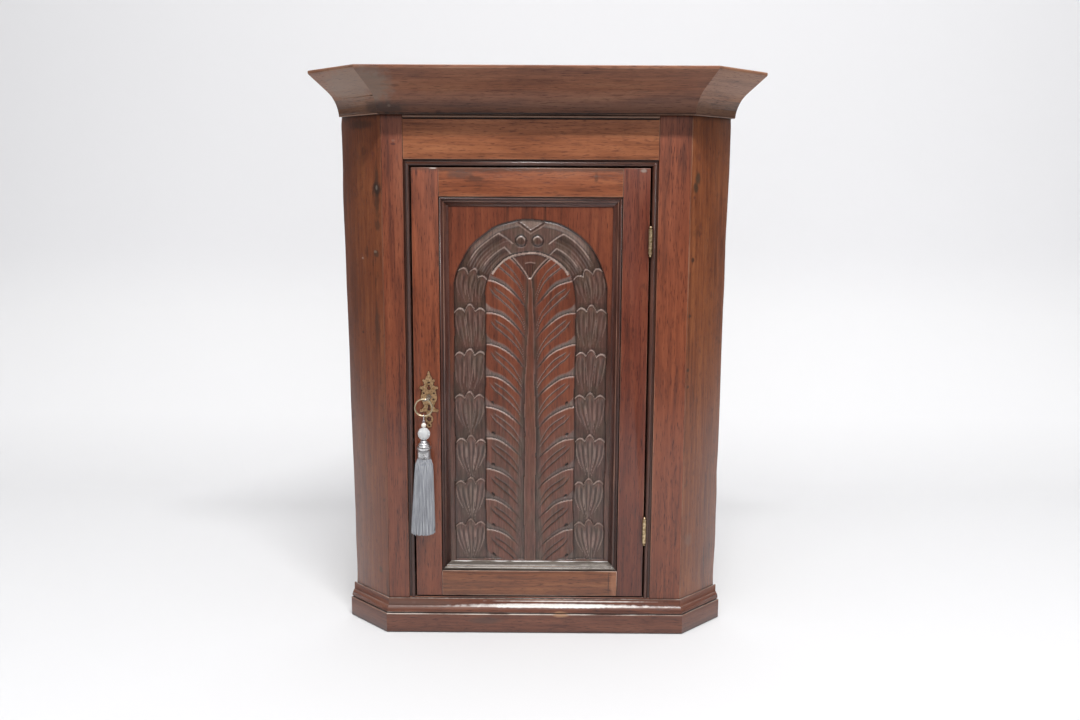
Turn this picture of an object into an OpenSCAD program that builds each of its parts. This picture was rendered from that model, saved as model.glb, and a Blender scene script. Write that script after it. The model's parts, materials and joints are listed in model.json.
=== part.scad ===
// Hanging corner cupboard in oak, with a canted front and one carved door
// Units are millimetres. The front faces -Y and the two walls meet behind, on +Y.

/* [Overall] */
// Height from the floor to the top of the cornice
height = 950; // [900:10:1100]
// Width of the flat front between its two corners
front_w = 505; // [490:5:560]
// How far each canted side reaches outwards and backwards
cant_reach = 72; // [64:1:90]

/* [Boards] */
// Thickness of the front frame and the canted sides
frame_t = 22; // [20:1:26]
// Thickness of the back boards
back_t = 12; // [10:1:14]
// Lip of each canted side that covers the edge of the back boards
side_lip = 8; // [6:1:10]
// Open joint between neighbouring back boards
board_gap = 0.6; // [0.4:0.1:0.9]
// Thickness of the top board and the bottom board
board_t = 18; // [15:1:22]
// Thickness of the shelves
shelf_t = 16; // [12:1:20]
// Height of the lower shelf's upper face
lower_shelf_z = 318; // [290:1:350]
// Height of the upper shelf's upper face
upper_shelf_z = 556; // [520:1:640]
// How far the shelves stand back from the closed door
shelf_setback = 16; // [14:1:30]
// Width of the plate groove in the shelves
plate_groove_w = 8; // [5:1:12]
// Drop from the cornice's top to the top board
top_drop = 6; // [2:1:12]
// Height by which the bottom board stops the closed door
stop_h = 10; // [6:1:14]

/* [Front frame] */
// Width of the left stile
left_stile_w = 35.5; // [34:0.5:44]
// Width of the right stile
right_stile_w = 53; // [44:0.5:60]
// Height of the top rail that shows under the cornice
top_rail_show = 71; // [60:1:90]
// Height of the bottom rail
bottom_rail_h = 62; // [61:1:70]
// Width of the bead round the opening
bead_w = 10.5; // [9:0.5:14]
// How far the bead stands out of the frame's face
bead_proud = 1; // [0.5:0.1:1.5]
// Radius of the bead's round nose
bead_r = 3.6; // [3:0.1:4]
// Thickness of all tenons
tenon_t = 8; // [6:0.5:10]
// Length of all tenons
tenon_l = 24; // [16:1:26]
// Shoulder above and below each tenon
tenon_shoulder = 9; // [6:1:12]
// Height of the scratched reed under the cornice
reed_h = 4; // [3:0.5:5]

/* [Cornice] */
// Height of the cornice
cornice_h = 70; // [60:1:80]
// How far the cornice's top stands out
cornice_out = 70.5; // [60:0.5:80]
// How far the cornice's foot stands out
cornice_foot = 7; // [5:0.5:9]
// Height of the flat fillet on the cornice's top edge
cornice_fillet = 5; // [3:0.5:7]
// Radius of the hollow
cove_r = 58; // [54:1:62]
// Lean of the hollow where it leaves the foot
cove_start = 9; // [6:1:12]
// Lean of the hollow where it runs out into the flat slope
cove_end = 57; // [52:1:60]

/* [Base moulding] */
// Height of the base moulding
base_h = 60; // [55:1:61]
// How far the plinth stands out
base_out = 9.5; // [8:0.5:12]
// Height of the flat plinth
plinth_h = 34; // [28:1:38]
// How far the fillet over the ovolo stands out
base_fillet_out = 2.2; // [1.5:0.1:3]
// Height of that fillet
base_fillet_h = 8; // [5:0.5:10]

/* [Door] */
// Gap round the door
door_gap = 2.4; // [2:0.1:3]
// Thickness of the door's frame
door_t = 22; // [20:1:24]
// Width of the door's stiles
door_stile_w = 44; // [42:1:47]
// Height of the door's top rail
door_top_rail_h = 47; // [42:1:60]
// Height of the door's bottom rail
door_bottom_rail_h = 45; // [42:1:60]
// Width of the groove that holds the panel
groove_w = 7; // [6:0.5:8]
// Depth of that groove
groove_d = 8; // [6:1:10]
// Play of the panel in its groove
panel_play = 0.3; // [0.2:0.1:0.8]
// How far the panel's face lies behind the door's face
panel_set = 8; // [7:0.5:9]
// Thickness of the panel's field
panel_t = 10; // [9:0.5:11]
// Width of the moulding round the panel
moulding_w = 15.5; // [13:0.5:17]
// Radius of the moulding's bead
moulding_bead_r = 2.2; // [1.8:0.1:2.6]
// How far the mouldings lie behind the door's face
moulding_set = 0.6; // [0.3:0.1:1]

/* [Carving] */
// Half the width of the carved arch, over its border
arch_out = 128; // [118:1:132]
// Half the width of the opening inside the border
arch_in = 76; // [70:1:80]
// Height of the arch's centre
arch_z = 585; // [560:1:600]
// Height of the foot of the carving
carve_z = 127; // [122:1:140]
// Depth of the sunk ground
carve_d = 3.4; // [2:0.2:4]
// Height of the lowest husk's tips
husk_z = 197; // [185:1:205]
// Distance from husk to husk
husk_pitch = 74.6; // [70:0.2:78]
// How much lower the two outer petals of a husk end
husk_lead = 7; // [5:0.5:10]
// Height at which the lowest leaflet's edge meets the border
leaf_z = 181; // [170:1:190]
// Distance from leaflet to leaflet
leaf_pitch = 53.8; // [50:0.2:56]
// Fall of a leaflet's edge from the border to the stem
leaf_drop = 50; // [40:1:56]
// Half the width of the leaf's stem
stem_half = 9.3; // [7:0.1:11]

/* [Hinges] */
// Height of a hinge without its ball tips
hinge_h = 42; // [38:1:60]
// Distance from the door's end to the middle of a hinge
hinge_inset = 118.5; // [90:0.5:150]
// Radius of the knuckle
knuckle_r = 3; // [2.6:0.1:3.4]
// Radius of the hinge pin
pin_r = 1.5; // [1.2:0.1:1.6]
// Radial play of the pin
pin_play = 0.05; // [0.02:0.01:0.08]
// Thickness of a hinge leaf
leaf_t = 1.5; // [1.2:0.1:1.6]
// Depth to which a leaf is let into the wood
leaf_d = 18; // [14:1:19]
// Gap between neighbouring knuckles
knuckle_gap = 0.3; // [0.2:0.1:0.5]
// Radius of a screw's shank
screw_r = 1.4; // [1.1:0.1:1.6]
// Length of a hinge screw
screw_l = 9; // [8:1:10]

/* [Lock and key] */
// Distance from the door's edge to the key
backset = 25; // [24:0.5:27]
// Height of the key above the floor
key_z = 417; // [400:1:440]
// Length of the lock case
lock_h = 56; // [50:1:70]
// Depth of the lock case
lock_d = 14; // [12:1:14]
// Sheet thickness of the lock
lock_sheet = 1.4; // [1.2:0.1:1.8]
// Setback of the lock case from the door's edge
lock_setback = 2; // [1.5:0.5:4]
// Height of the bolt
bolt_h = 12; // [10:1:14]
// Thickness of the bolt
bolt_t = 4.6; // [4:0.2:5]
// Play of the bolt in its slot
bolt_play = 0.35; // [0.3:0.05:0.5]
// Radius of the key's shank
shank_r = 2.5; // [2.2:0.1:2.7]
// Play of the key in the keyhole
key_play = 0.7; // [0.5:0.1:0.9]
// Reach of the key's bit from its axis
bit_reach = 9; // [8.6:0.1:9.4]
// Thickness of the bit
bit_t = 2.2; // [1.8:0.1:2.6]
// Tilt of the key's bow above level
key_tilt = 25; // [20:1:30]
// Distance from the door's face to the middle of the bow
bow_stand = 24; // [23:0.5:28]
// Length of the bow along the shank
bow_l = 20; // [18:0.5:22]
// Width of the bow
bow_w = 17; // [16:0.5:18]
// Thickness of the bow's rim
bow_rim = 2.6; // [2.2:0.1:3]
// Thickness of the escutcheon
escutcheon_t = 1.6; // [1.2:0.1:2]

/* [Key ring and tassel] */
// Radius of the key ring, to the middle of its wire
ring_r = 14.4; // [13:0.2:16]
// Radius of the key ring's wire
ring_wire_r = 1.2; // [1:0.1:1.3]
// Radius of the link's wire
link_wire_r = 0.6; // [0.5:0.05:0.7]
// Radius of the wire that carries the beads
head_pin_r = 0.8; // [0.6:0.1:0.9]
// Play of the beads on their wire
bead_play = 0.1; // [0.05:0.05:0.2]
// Radius of the small round bead
pearl_r = 4.2; // [3.5:0.1:5]
// Radius of the crystal bead
crystal_r = 10.6; // [9:0.1:12]
// Height of the tassel's cap
cap_h = 32; // [28:1:36]
// Radius of the cap's collar
cap_r = 10.4; // [9.5:0.1:11.5]
// Sheet thickness of the cap
cap_sheet = 0.9; // [0.7:0.1:1.2]
// Length of the thread skirt below the cap
skirt_l = 126; // [100:1:140]
// Radius of the skirt at its hem
skirt_r = 19.6; // [17:0.2:19.8]

/* [Hanging holes] */
// Radius of the hanging holes
hang_hole_r = 2.75; // [2:0.25:4]
// Height of the upper hanging holes
hang_high_z = 860; // [800:5:885]
// Height of the lower hanging holes
hang_low_z = 150; // [120:5:200]
// Distance of the hanging holes from the canted side's edge
hang_in = 230; // [200:5:260]

/* [Hidden] */
$fn = 48;

// Half of the turn from the front to a canted side
mitre = tan(22.5);
half_w = front_w / 2;
// Length of a canted side's face
cant_l = cant_reach * sqrt(2);
// Distance from the front to the corner where the walls meet
corner_y = half_w + 2 * cant_reach;
// Length of a wall from a canted side to the corner
wall_l = (half_w + cant_reach) * sqrt(2);
// The middle of the plan, which stands at the origin
mid_y = (corner_y - cornice_out) / 2;

cornice_z = height - cornice_h;
carcass_top = height - top_drop;
rail_z = cornice_z - top_rail_show;
bottom_board_top = bottom_rail_h + door_gap + stop_h;

// Edges of the opening and of the door
bead_left_x = -half_w + left_stile_w;
bead_right_x = half_w - right_stile_w;
door_left_x = bead_left_x + bead_w + door_gap;
door_right_x = bead_right_x - bead_w - door_gap;
door_x = (door_left_x + door_right_x) / 2;
door_z0 = bottom_rail_h + door_gap;
door_z1 = rail_z - bead_w - door_gap;

// Inside edges of the door's frame
panel_left_x = door_left_x + door_stile_w;
panel_right_x = door_right_x - door_stile_w;
panel_z0 = door_z0 + door_bottom_rail_h;
panel_z1 = door_z1 - door_top_rail_h;
groove_y = panel_set + (panel_t - groove_w) / 2;

// Hinge axis, in front of the faces so that the door clears the frame
knuckle_clear = 0.3;
hinge_x = door_right_x + door_gap / 2;
hinge_y = -(knuckle_r + knuckle_clear);
hinge_zs = [door_z0 + hinge_inset, door_z1 - hinge_inset];

key_x = door_left_x + backset;
lock_x0 = door_left_x + lock_setback;
lock_x1 = panel_left_x - 1;
lock_z0 = key_z - lock_h * 0.45;
lock_z1 = lock_z0 + lock_h;

// Places of the bow's lower rim, the ring and the tassel
rim_reach = (bow_w - bow_rim) / 2;
rim_x = key_x - rim_reach * cos(key_tilt);
rim_z = key_z - rim_reach * sin(key_tilt);
ring_z = rim_z + bow_rim / 2 + 0.12 - (ring_r - ring_wire_r);
ring_y = -bow_stand;
ring_low_z = ring_z - ring_r;
// The link's bends: their radius, and the heights of their centres
bend_r = 3.1;
bend_top_z = ring_low_z - 0.5;
bend_low_z = bend_top_z - 5.4;
eye_r = 1.7;
eye_wire_r = 0.6;
eye_z = bend_low_z - bend_r + link_wire_r + 0.1 - (eye_r - eye_wire_r);
pearl_z = eye_z - eye_r - pearl_r - eye_wire_r;
crystal_z = pearl_z - pearl_r - crystal_r * 0.97;
cap_top_z = crystal_z - crystal_r * 0.97;
skirt_top_z = cap_top_z - cap_h;

oak = "#7a4a32";
carved_oak = "#6a3b2a";
back_oak = "#8a6a4c";
brass = "#b08d4f";
iron = "#4a4643";
steel = "#b9b4ae";
silver = "#c8c8cc";
glass = "#dfe9ea";
thread = "#8f9aa6";

// Everything is drawn with y = 0 at the front face and moved to the plan's middle here
module placed() {
    translate([0, -mid_y, 0]) children();
}

// A canted side's own frame: x runs back along the side, y runs inwards
module on_right_side() {
    placed() translate([half_w, 0, 0]) rotate([0, 0, 45]) children();
}

module on_left_side() {
    mirror([1, 0, 0]) on_right_side() children();
}

// Back boards

function board_start(i, first, last) = first + (last - first) * i / 3;

module back_board(i, last) {
    y0 = board_start(i, side_lip, last);
    y1 = board_start(i + 1, side_lip, last);
    cut = i == 2 ? 0 : board_gap;
    difference() {
        translate([cant_l - back_t, y0, 0]) cube([back_t, y1 - y0 - cut, carcass_top]);
        if (hang_in > y0 && hang_in < y1)
            for (z = [hang_low_z, hang_high_z])
                translate([cant_l - back_t - 1, hang_in, z]) rotate([0, 90, 0])
                    cylinder(r = hang_hole_r, h = back_t + 2);
    }
}

module back_board_right(i) {
    color(back_oak) on_right_side() back_board(i, wall_l);
}

module back_board_left(i) {
    color(back_oak) on_left_side() back_board(i, wall_l - back_t);
}

// Inside plan of the carcass, from a given distance behind the front
module inside_plan(y0) {
    side_x = half_w - frame_t * mitre;
    lip_s = cant_l - back_t;
    lip_x = half_w + (lip_s - frame_t) / sqrt(2);
    lip_y = (lip_s + frame_t) / sqrt(2);
    back_y = corner_y - back_t * sqrt(2);
    intersection() {
        polygon([[-side_x, frame_t], [side_x, frame_t], [lip_x, lip_y], [0, back_y], [-lip_x, lip_y]]);
        translate([-front_w, y0]) square([2 * front_w, 2 * front_w]);
    }
}

module top_board() {
    color(back_oak) placed() translate([0, 0, carcass_top - board_t])
        linear_extrude(board_t) inside_plan(frame_t);
}

module bottom_board() {
    color(oak) placed() translate([0, 0, bottom_board_top - board_t])
        linear_extrude(board_t) inside_plan(frame_t + 0.3);
}

module shelf(z) {
    groove_in = 34;
    color(oak) placed() difference() {
        translate([0, 0, z - shelf_t]) linear_extrude(shelf_t) inside_plan(frame_t + shelf_setback);
        for (side = [0, 1]) mirror([side, 0, 0])
            translate([half_w, 0, z - 3]) rotate([0, 0, 45])
                translate([cant_l - back_t - groove_in, frame_t + 30, 0])
                    cube([plate_groove_w, wall_l - frame_t - back_t - groove_in - 60, 4]);
    }
}

module lower_shelf() {
    shelf(lower_shelf_z);
}

module upper_shelf() {
    shelf(upper_shelf_z);
}

// Canted sides, mitred to the front frame and rebated for the back boards

module canted_side() {
    color(oak) linear_extrude(carcass_top) polygon([
        [0, 0], [cant_l, 0], [cant_l, side_lip], [cant_l - back_t, side_lip],
        [cant_l - back_t, frame_t], [frame_t * mitre, frame_t]
    ]);
}

module canted_side_right() {
    on_right_side() canted_side();
}

module canted_side_left() {
    on_left_side() canted_side();
}

// Front frame

// A tenon or its mortise, on the edge of a stile at x, reaching towards side dir
module tenon(x, dir, z0, z1, thick) {
    x0 = dir > 0 ? x : x - tenon_l;
    translate([x0, (thick - tenon_t) / 2, z0 + tenon_shoulder])
        cube([tenon_l, tenon_t, z1 - z0 - 2 * tenon_shoulder]);
}

module frame_stile(edge_x, side) {
    difference() {
        linear_extrude(carcass_top) polygon([
            [edge_x, 0], [side * half_w, 0], [side * (half_w - frame_t * mitre), frame_t], [edge_x, frame_t]
        ]);
        tenon(edge_x, side, 0, bottom_rail_h, frame_t);
        tenon(edge_x, side, rail_z, carcass_top, frame_t);
    }
}

module frame_stile_left() {
    color(oak) placed() frame_stile(bead_left_x, -1);
}

module frame_stile_right() {
    color(oak) placed() frame_stile(bead_right_x, 1);
}

module frame_rail(z0, z1) {
    translate([bead_left_x, 0, z0]) cube([bead_right_x - bead_left_x, frame_t, z1 - z0]);
    tenon(bead_left_x, -1, z0, z1, frame_t);
    tenon(bead_right_x, 1, z0, z1, frame_t);
}

// The top rail has a reed between two scratched grooves, just under the cornice
module frame_top_rail() {
    groove = 1.8;
    color(oak) placed() difference() {
        frame_rail(rail_z, carcass_top);
        for (z = [cornice_z - groove, cornice_z - 2 * groove - reed_h])
            translate([bead_left_x + 1, -1, z])
                cube([bead_right_x - bead_left_x - 2, 1 + groove, groove]);
    }
}

module frame_bottom_rail() {
    color(oak) placed() frame_rail(0, bottom_rail_h);
}

// Section of the bead: x runs from the opening to the stile, y runs backwards
module bead_section() {
    nose_y = bead_r - bead_proud;
    translate([bead_r + 0.2, nose_y]) circle(r = bead_r);
    translate([0, nose_y]) square([bead_w, frame_t - nose_y]);
}

// Beads stand in the opening and are mitred at its upper corners
module bead_upright(edge_x, side) {
    top_z = rail_z;
    intersection() {
        translate([edge_x - side * bead_w, 0, bottom_rail_h]) mirror([side > 0 ? 0 : 1, 0, 0])
            linear_extrude(top_z - bottom_rail_h) bead_section();
        translate([edge_x, frame_t, 0]) rotate([90, 0, 0]) linear_extrude(frame_t + 4) polygon([
            [0, bottom_rail_h], [0, top_z], [-side * bead_w, top_z - bead_w], [-side * bead_w, bottom_rail_h]
        ]);
    }
}

module opening_bead_right() {
    color(oak) placed() difference() {
        bead_upright(bead_right_x, 1);
        for (z = hinge_zs) {
            leaf_recess(z, 1);
            leaf_pilot_holes(z, 1);
        }
    }
}

module opening_bead_left() {
    color(oak) placed() bead_upright(bead_left_x, -1);
}

module opening_bead_top() {
    color(oak) placed() intersection() {
        translate([bead_left_x, 0, rail_z - bead_w]) rotate([90, 0, 90])
            linear_extrude(bead_right_x - bead_left_x) rotate(90) mirror([0, 1, 0]) bead_section();
        translate([0, frame_t, 0]) rotate([90, 0, 0]) linear_extrude(frame_t + 4) polygon([
            [bead_left_x, rail_z], [bead_left_x + bead_w, rail_z - bead_w],
            [bead_right_x - bead_w, rail_z - bead_w], [bead_right_x, rail_z]
        ]);
    }
}

// Mouldings that run round the front and are mitred at its corners

// Plan of the front run, out to a distance from the frame's face
module front_run_plan(out) {
    polygon([
        [-half_w - mitre * out, -out], [half_w + mitre * out, -out], [half_w, 0], [-half_w, 0]
    ]);
}

// Plan of a canted run in the canted side's frame
module side_run_plan(out) {
    polygon([[-mitre * out, -out], [cant_l, -out], [cant_l, 0], [0, 0]]);
}

// Cornice section: x runs outwards, y runs up from the cornice's foot
module cornice_section() {
    middle = [cornice_foot + cove_r * cos(cove_start), -cove_r * sin(cove_start)];
    turn = middle + cove_r * [-cos(cove_end), sin(cove_end)];
    difference() {
        polygon([
            [0, 0], [turn.x, 0], turn,
            [cornice_out, cornice_h - cornice_fillet], [cornice_out, cornice_h], [0, cornice_h]
        ]);
        translate(middle) circle(r = cove_r, $fn = 144);
    }
}

module cornice_front() {
    color(oak) placed() intersection() {
        translate([-front_w, 0, cornice_z]) rotate([90, 0, 90])
            linear_extrude(2 * front_w) mirror([1, 0, 0]) cornice_section();
        translate([0, 0, cornice_z]) linear_extrude(cornice_h) front_run_plan(cornice_out);
    }
}

module cornice_side() {
    color(oak) intersection() {
        translate([-cornice_out, 0, cornice_z]) rotate([90, 0, 90])
            linear_extrude(cant_l + cornice_out) mirror([1, 0, 0]) cornice_section();
        translate([0, 0, cornice_z]) linear_extrude(cornice_h) side_run_plan(cornice_out);
    }
}

module cornice_right() {
    on_right_side() cornice_side();
}

module cornice_left() {
    on_left_side() cornice_side();
}

// Base section: plinth, quirk, ovolo and fillet
module base_section() {
    ovolo_z0 = plinth_h + 1.5;
    ovolo_z1 = base_h - base_fillet_h;
    ovolo_out = base_out - 2;
    ovolo_r = ovolo_z1 - ovolo_z0;
    square([base_out, plinth_h]);
    square([base_fillet_out, base_h]);
    square([ovolo_out - 2, ovolo_z0 + 1]);
    intersection() {
        translate([ovolo_out - ovolo_r, ovolo_z0]) circle(r = ovolo_r, $fn = 96);
        translate([0, ovolo_z0]) square([ovolo_out, ovolo_r]);
    }
}

module base_moulding_front() {
    color(oak) placed() intersection() {
        translate([-front_w, 0, 0]) rotate([90, 0, 90])
            linear_extrude(2 * front_w) mirror([1, 0, 0]) base_section();
        linear_extrude(base_h) front_run_plan(base_out);
    }
}

module base_moulding_side() {
    color(oak) intersection() {
        translate([-base_out, 0, 0]) rotate([90, 0, 90])
            linear_extrude(cant_l + base_out) mirror([1, 0, 0]) base_section();
        linear_extrude(base_h) side_run_plan(base_out);
    }
}

module base_moulding_right() {
    on_right_side() base_moulding_side();
}

module base_moulding_left() {
    on_left_side() base_moulding_side();
}

// Butt hinges: side 1 is the frame's leaf, side -1 is the door's

knuckle_h = hinge_h / 5;

// Screw places in a leaf: height from the hinge's middle and depth behind the face
screw_places = [for (k = [-1, 0, 1]) [k * hinge_h * 0.34, leaf_d * (k == 0 ? 0.75 : 0.45)]];

module leaf_recess(z, side) {
    x0 = side > 0 ? hinge_x + door_gap / 2 : hinge_x - door_gap / 2 - leaf_t;
    translate([x0 - (side > 0 ? 1 : 0), -5, z - hinge_h / 2])
        cube([leaf_t + 1, 5 + leaf_d, hinge_h]);
}

// A shape with its axis along the screws of a leaf, head at the leaf's surface
module at_leaf_screws(z, side) {
    for (p = screw_places)
        translate([hinge_x + side * door_gap / 2, p[1], z + p[0]]) rotate([0, side * 90, 0]) children();
}

module leaf_pilot_holes(z, side) {
    at_leaf_screws(z, side) translate([0, 0, leaf_t - 0.5])
        cylinder(r = screw_r + 0.02, h = screw_l - leaf_t + 0.7, $fn = 24);
}

module hinge_leaf(z, side) {
    x0 = side > 0 ? hinge_x + door_gap / 2 : hinge_x - door_gap / 2 - leaf_t;
    own = side > 0 ? [0, 2, 4] : [1, 3];
    other = side > 0 ? [1, 3] : [0, 2, 4];
    z0 = z - hinge_h / 2;
    inset = knuckle_gap / 2;
    difference() {
        union() {
            translate([x0, hinge_y, z0 + inset]) cube([leaf_t, leaf_d - hinge_y - inset, hinge_h - 2 * inset]);
            for (k = own)
                translate([hinge_x, hinge_y, z0 + k * knuckle_h + knuckle_gap / 2])
                    cylinder(r = knuckle_r, h = knuckle_h - knuckle_gap);
        }
        // Room for the other leaf's knuckles
        for (k = other)
            translate([hinge_x, hinge_y, z0 + k * knuckle_h - knuckle_gap / 2])
                cylinder(r = knuckle_r + knuckle_clear, h = knuckle_h + knuckle_gap);
        translate([hinge_x, hinge_y, z0 - 1]) cylinder(r = pin_r + pin_play, h = hinge_h + 2);
        at_leaf_screws(z, side) {
            translate([0, 0, -1]) cylinder(r = screw_r + 0.02, h = leaf_t + 2, $fn = 24);
            translate([0, 0, -0.02]) cylinder(r1 = screw_r + 1.25, r2 = screw_r + 0.02, h = leaf_t, $fn = 24);
        }
    }
}

// The pin ends in a ball above and below the knuckles
module hinge_pin(z) {
    tip_r = knuckle_r - 0.8;
    color(brass) placed() translate([hinge_x, hinge_y, z]) {
        translate([0, 0, -hinge_h / 2 - tip_r]) cylinder(r = pin_r, h = hinge_h + 2 * tip_r);
        for (side = [-1, 1]) translate([0, 0, side * (hinge_h / 2 + tip_r - 0.1)]) sphere(r = tip_r);
    }
}

module hinge_screws(side) {
    color(brass) placed() for (z = hinge_zs) at_leaf_screws(z, side) difference() {
        union() {
            cylinder(r1 = screw_r + 1.15, r2 = screw_r, h = leaf_t - 0.1, $fn = 24);
            cylinder(r = screw_r, h = screw_l, $fn = 24);
        }
        translate([-4, -0.3, -1]) cube([8, 0.6, 1.5]);
    }
}

module hinge_upper_frame_leaf() {
    color(brass) placed() hinge_leaf(hinge_zs[1], 1);
}

module hinge_lower_frame_leaf() {
    color(brass) placed() hinge_leaf(hinge_zs[0], 1);
}

module hinge_upper_door_leaf() {
    color(brass) placed() hinge_leaf(hinge_zs[1], -1);
}

module hinge_lower_door_leaf() {
    color(brass) placed() hinge_leaf(hinge_zs[0], -1);
}

module hinge_upper_pin() {
    hinge_pin(hinge_zs[1]);
}

module hinge_lower_pin() {
    hinge_pin(hinge_zs[0]);
}

module hinge_screws_frame() {
    hinge_screws(1);
}

module hinge_screws_door() {
    hinge_screws(-1);
}

// Door frame

module keyhole(play) {
    circle(r = shank_r + play);
    slot_w = bit_t + 2 * play;
    translate([-slot_w / 2, -bit_reach - play]) square([slot_w, bit_reach + play]);
}

// A keyhole cut from y0 over a depth
module keyhole_cut(y0, depth) {
    translate([key_x, y0 + depth, key_z]) rotate([90, 0, 0]) linear_extrude(depth) keyhole(key_play);
}

module panel_groove(x, z0, z1, side) {
    x0 = side > 0 ? x : x - groove_d;
    translate([x0, groove_y, z0]) cube([groove_d, groove_w, z1 - z0]);
}

module door_stile(x0, side) {
    inner_x = side > 0 ? x0 : x0 + door_stile_w;
    difference() {
        translate([x0, 0, door_z0]) cube([door_stile_w, door_t, door_z1 - door_z0]);
        panel_groove(inner_x, panel_z0 - groove_d, panel_z1 + groove_d, side);
        tenon(inner_x, side, door_z0, panel_z0, door_t);
        tenon(inner_x, side, panel_z1, door_z1, door_t);
    }
}

module door_stile_left() {
    color(oak) placed() difference() {
        door_stile(door_left_x, -1);
        keyhole_cut(-1, door_t + 2);
        at_lock_screws() translate([0, 0, -lock_screw_l - 0.1])
            cylinder(r = screw_r + 0.02, h = lock_screw_l + 1, $fn = 24);
        at_escutcheon_pins() translate([0, 0, -escutcheon_pin_l - 0.3])
            cylinder(r = escutcheon_pin_r + 0.02, h = escutcheon_pin_l + 1, $fn = 16);
    }
}

module door_stile_right() {
    color(oak) placed() difference() {
        door_stile(panel_right_x, 1);
        for (z = hinge_zs) {
            leaf_recess_door(z);
            leaf_pilot_holes(z, -1);
        }
    }
}

module leaf_recess_door(z) {
    translate([hinge_x - door_gap / 2 - leaf_t, -1, z - hinge_h / 2]) cube([leaf_t + 1, 1 + leaf_d, hinge_h]);
}

// A rail between the stiles, grooved on the edge that faces the panel
module door_rail(z0, z1, groove_z) {
    difference() {
        union() {
            translate([panel_left_x, 0, z0]) cube([panel_right_x - panel_left_x, door_t, z1 - z0]);
            tenon(panel_left_x, -1, z0, z1, door_t);
            tenon(panel_right_x, 1, z0, z1, door_t);
        }
        translate([panel_left_x - tenon_l - 1, groove_y, groove_z])
            cube([panel_right_x - panel_left_x + 2 * tenon_l + 2, groove_w, groove_d]);
    }
}

module door_top_rail() {
    color(oak) placed() door_rail(panel_z1, door_z1, panel_z1);
}

module door_bottom_rail() {
    color(oak) placed() door_rail(door_z0, panel_z0, panel_z0 - groove_d);
}

// Moulding round the panel

// Section: x runs from the frame's edge over the panel, y runs backwards
module moulding_section() {
    depth = panel_set - moulding_set;
    quirk = 1;
    bead_x = quirk + moulding_bead_r;
    edge = 1.4;
    cove = moulding_w - bead_x - moulding_bead_r;
    difference() {
        union() {
            translate([bead_x, moulding_set + moulding_bead_r]) circle(r = moulding_bead_r);
            translate([0, moulding_set + moulding_bead_r]) square([moulding_w, depth - moulding_bead_r]);
        }
        translate([moulding_w, panel_set - edge - cove]) circle(r = cove);
    }
}

// A length of moulding that runs up, its back on the frame's edge, with mitred ends
module moulding_strip(length) {
    intersection() {
        linear_extrude(length) moulding_section();
        translate([0, door_t, 0]) rotate([90, 0, 0]) linear_extrude(2 * door_t) polygon([
            [0, 0], [0, length], [moulding_w, length - moulding_w], [moulding_w, moulding_w]
        ]);
    }
}

module panel_moulding_left() {
    color(oak) placed() translate([panel_left_x, 0, panel_z0]) moulding_strip(panel_z1 - panel_z0);
}

module panel_moulding_right() {
    color(oak) placed() translate([panel_right_x, 0, panel_z0]) mirror([1, 0, 0])
        moulding_strip(panel_z1 - panel_z0);
}

module panel_moulding_bottom() {
    color(oak) placed() translate([panel_right_x, 0, panel_z0]) rotate([0, -90, 0])
        moulding_strip(panel_right_x - panel_left_x);
}

module panel_moulding_top() {
    color(oak) placed() translate([panel_left_x, 0, panel_z1]) rotate([0, 90, 0])
        moulding_strip(panel_right_x - panel_left_x);
}

// Carved panel

// Closed skin over a row of rings that have equal numbers of points
module skin(rings) {
    n = len(rings[0]);
    m = len(rings);
    points = [for (r = rings) for (p = r) p];
    sides = [for (i = [0 : m - 2]) for (j = [0 : n - 1]) each [
        [i * n + j, (i + 1) * n + j, (i + 1) * n + (j + 1) % n],
        [i * n + j, (i + 1) * n + (j + 1) % n, i * n + (j + 1) % n]
    ]];
    first = [for (j = [1 : n - 2]) [0, j, j + 1]];
    last = [for (j = [1 : n - 2]) [(m - 1) * n, (m - 1) * n + j + 1, (m - 1) * n + j]];
    polyhedron(points = points, faces = concat(sides, first, last));
}

ground_y = panel_set + carve_d;
sink = 1;

// A point of the carving: across, up and its height above the sunk ground
function carved(u, v, h) = [door_x + u, ground_y - h, v];

// The border's middle line runs up the side and round the arch: s counts from the arch's springing
border_r = (arch_out + arch_in) / 2;
function border_turn(s) = s < 0 ? 0 : s / border_r * 180 / PI;
function border_point(s, across) =
    let (a = border_turn(s), r = border_r + across)
    [r * cos(a), arch_z + (s < 0 ? s : 0) + r * sin(a)];

// One petal of a husk: it starts narrow and low, and ends in a raised round tip
petal_w = (arch_out - arch_in) / 6;
petal_stations = [
    // share of the length, share of the width, share of the carving's depth
    [0, 0.55, 0.18], [0.55, 0.85, 0.47], [0.86, 1, 0.85], [0.96, 0.75, 0.91], [1, 0.3, 0.85]
];

function petal_ring(s, across, half, h) =
    let (a = border_point(s, across - half), l = border_point(s, across - half * 0.55))
    let (b = border_point(s, across), r = border_point(s, across + half * 0.55))
    let (c = border_point(s, across + half))
    [
        carved(a.x, a.y, -sink), carved(l.x, l.y, h * 0.8), carved(b.x, b.y, h),
        carved(r.x, r.y, h * 0.8), carved(c.x, c.y, -sink)
    ];

module petal(s_tip, length, across, half = petal_w, spread = 0.3) {
    skin([for (k = petal_stations)
        petal_ring(s_tip - length * (1 - k[0]), across * (1 - spread + spread * k[0]),
            half * k[1], carve_d * k[2])]);
}

// A husk has three petals, the middle one a little longer
module husk(s_tip, length) {
    petal(s_tip - husk_lead, length, -2 * petal_w);
    petal(s_tip - husk_lead, length, 2 * petal_w);
    petal(s_tip, length, 0);
}

// Way along the border from the springing to a place on the arch
function arch_way(angle) = border_r * angle * PI / 180;

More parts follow.
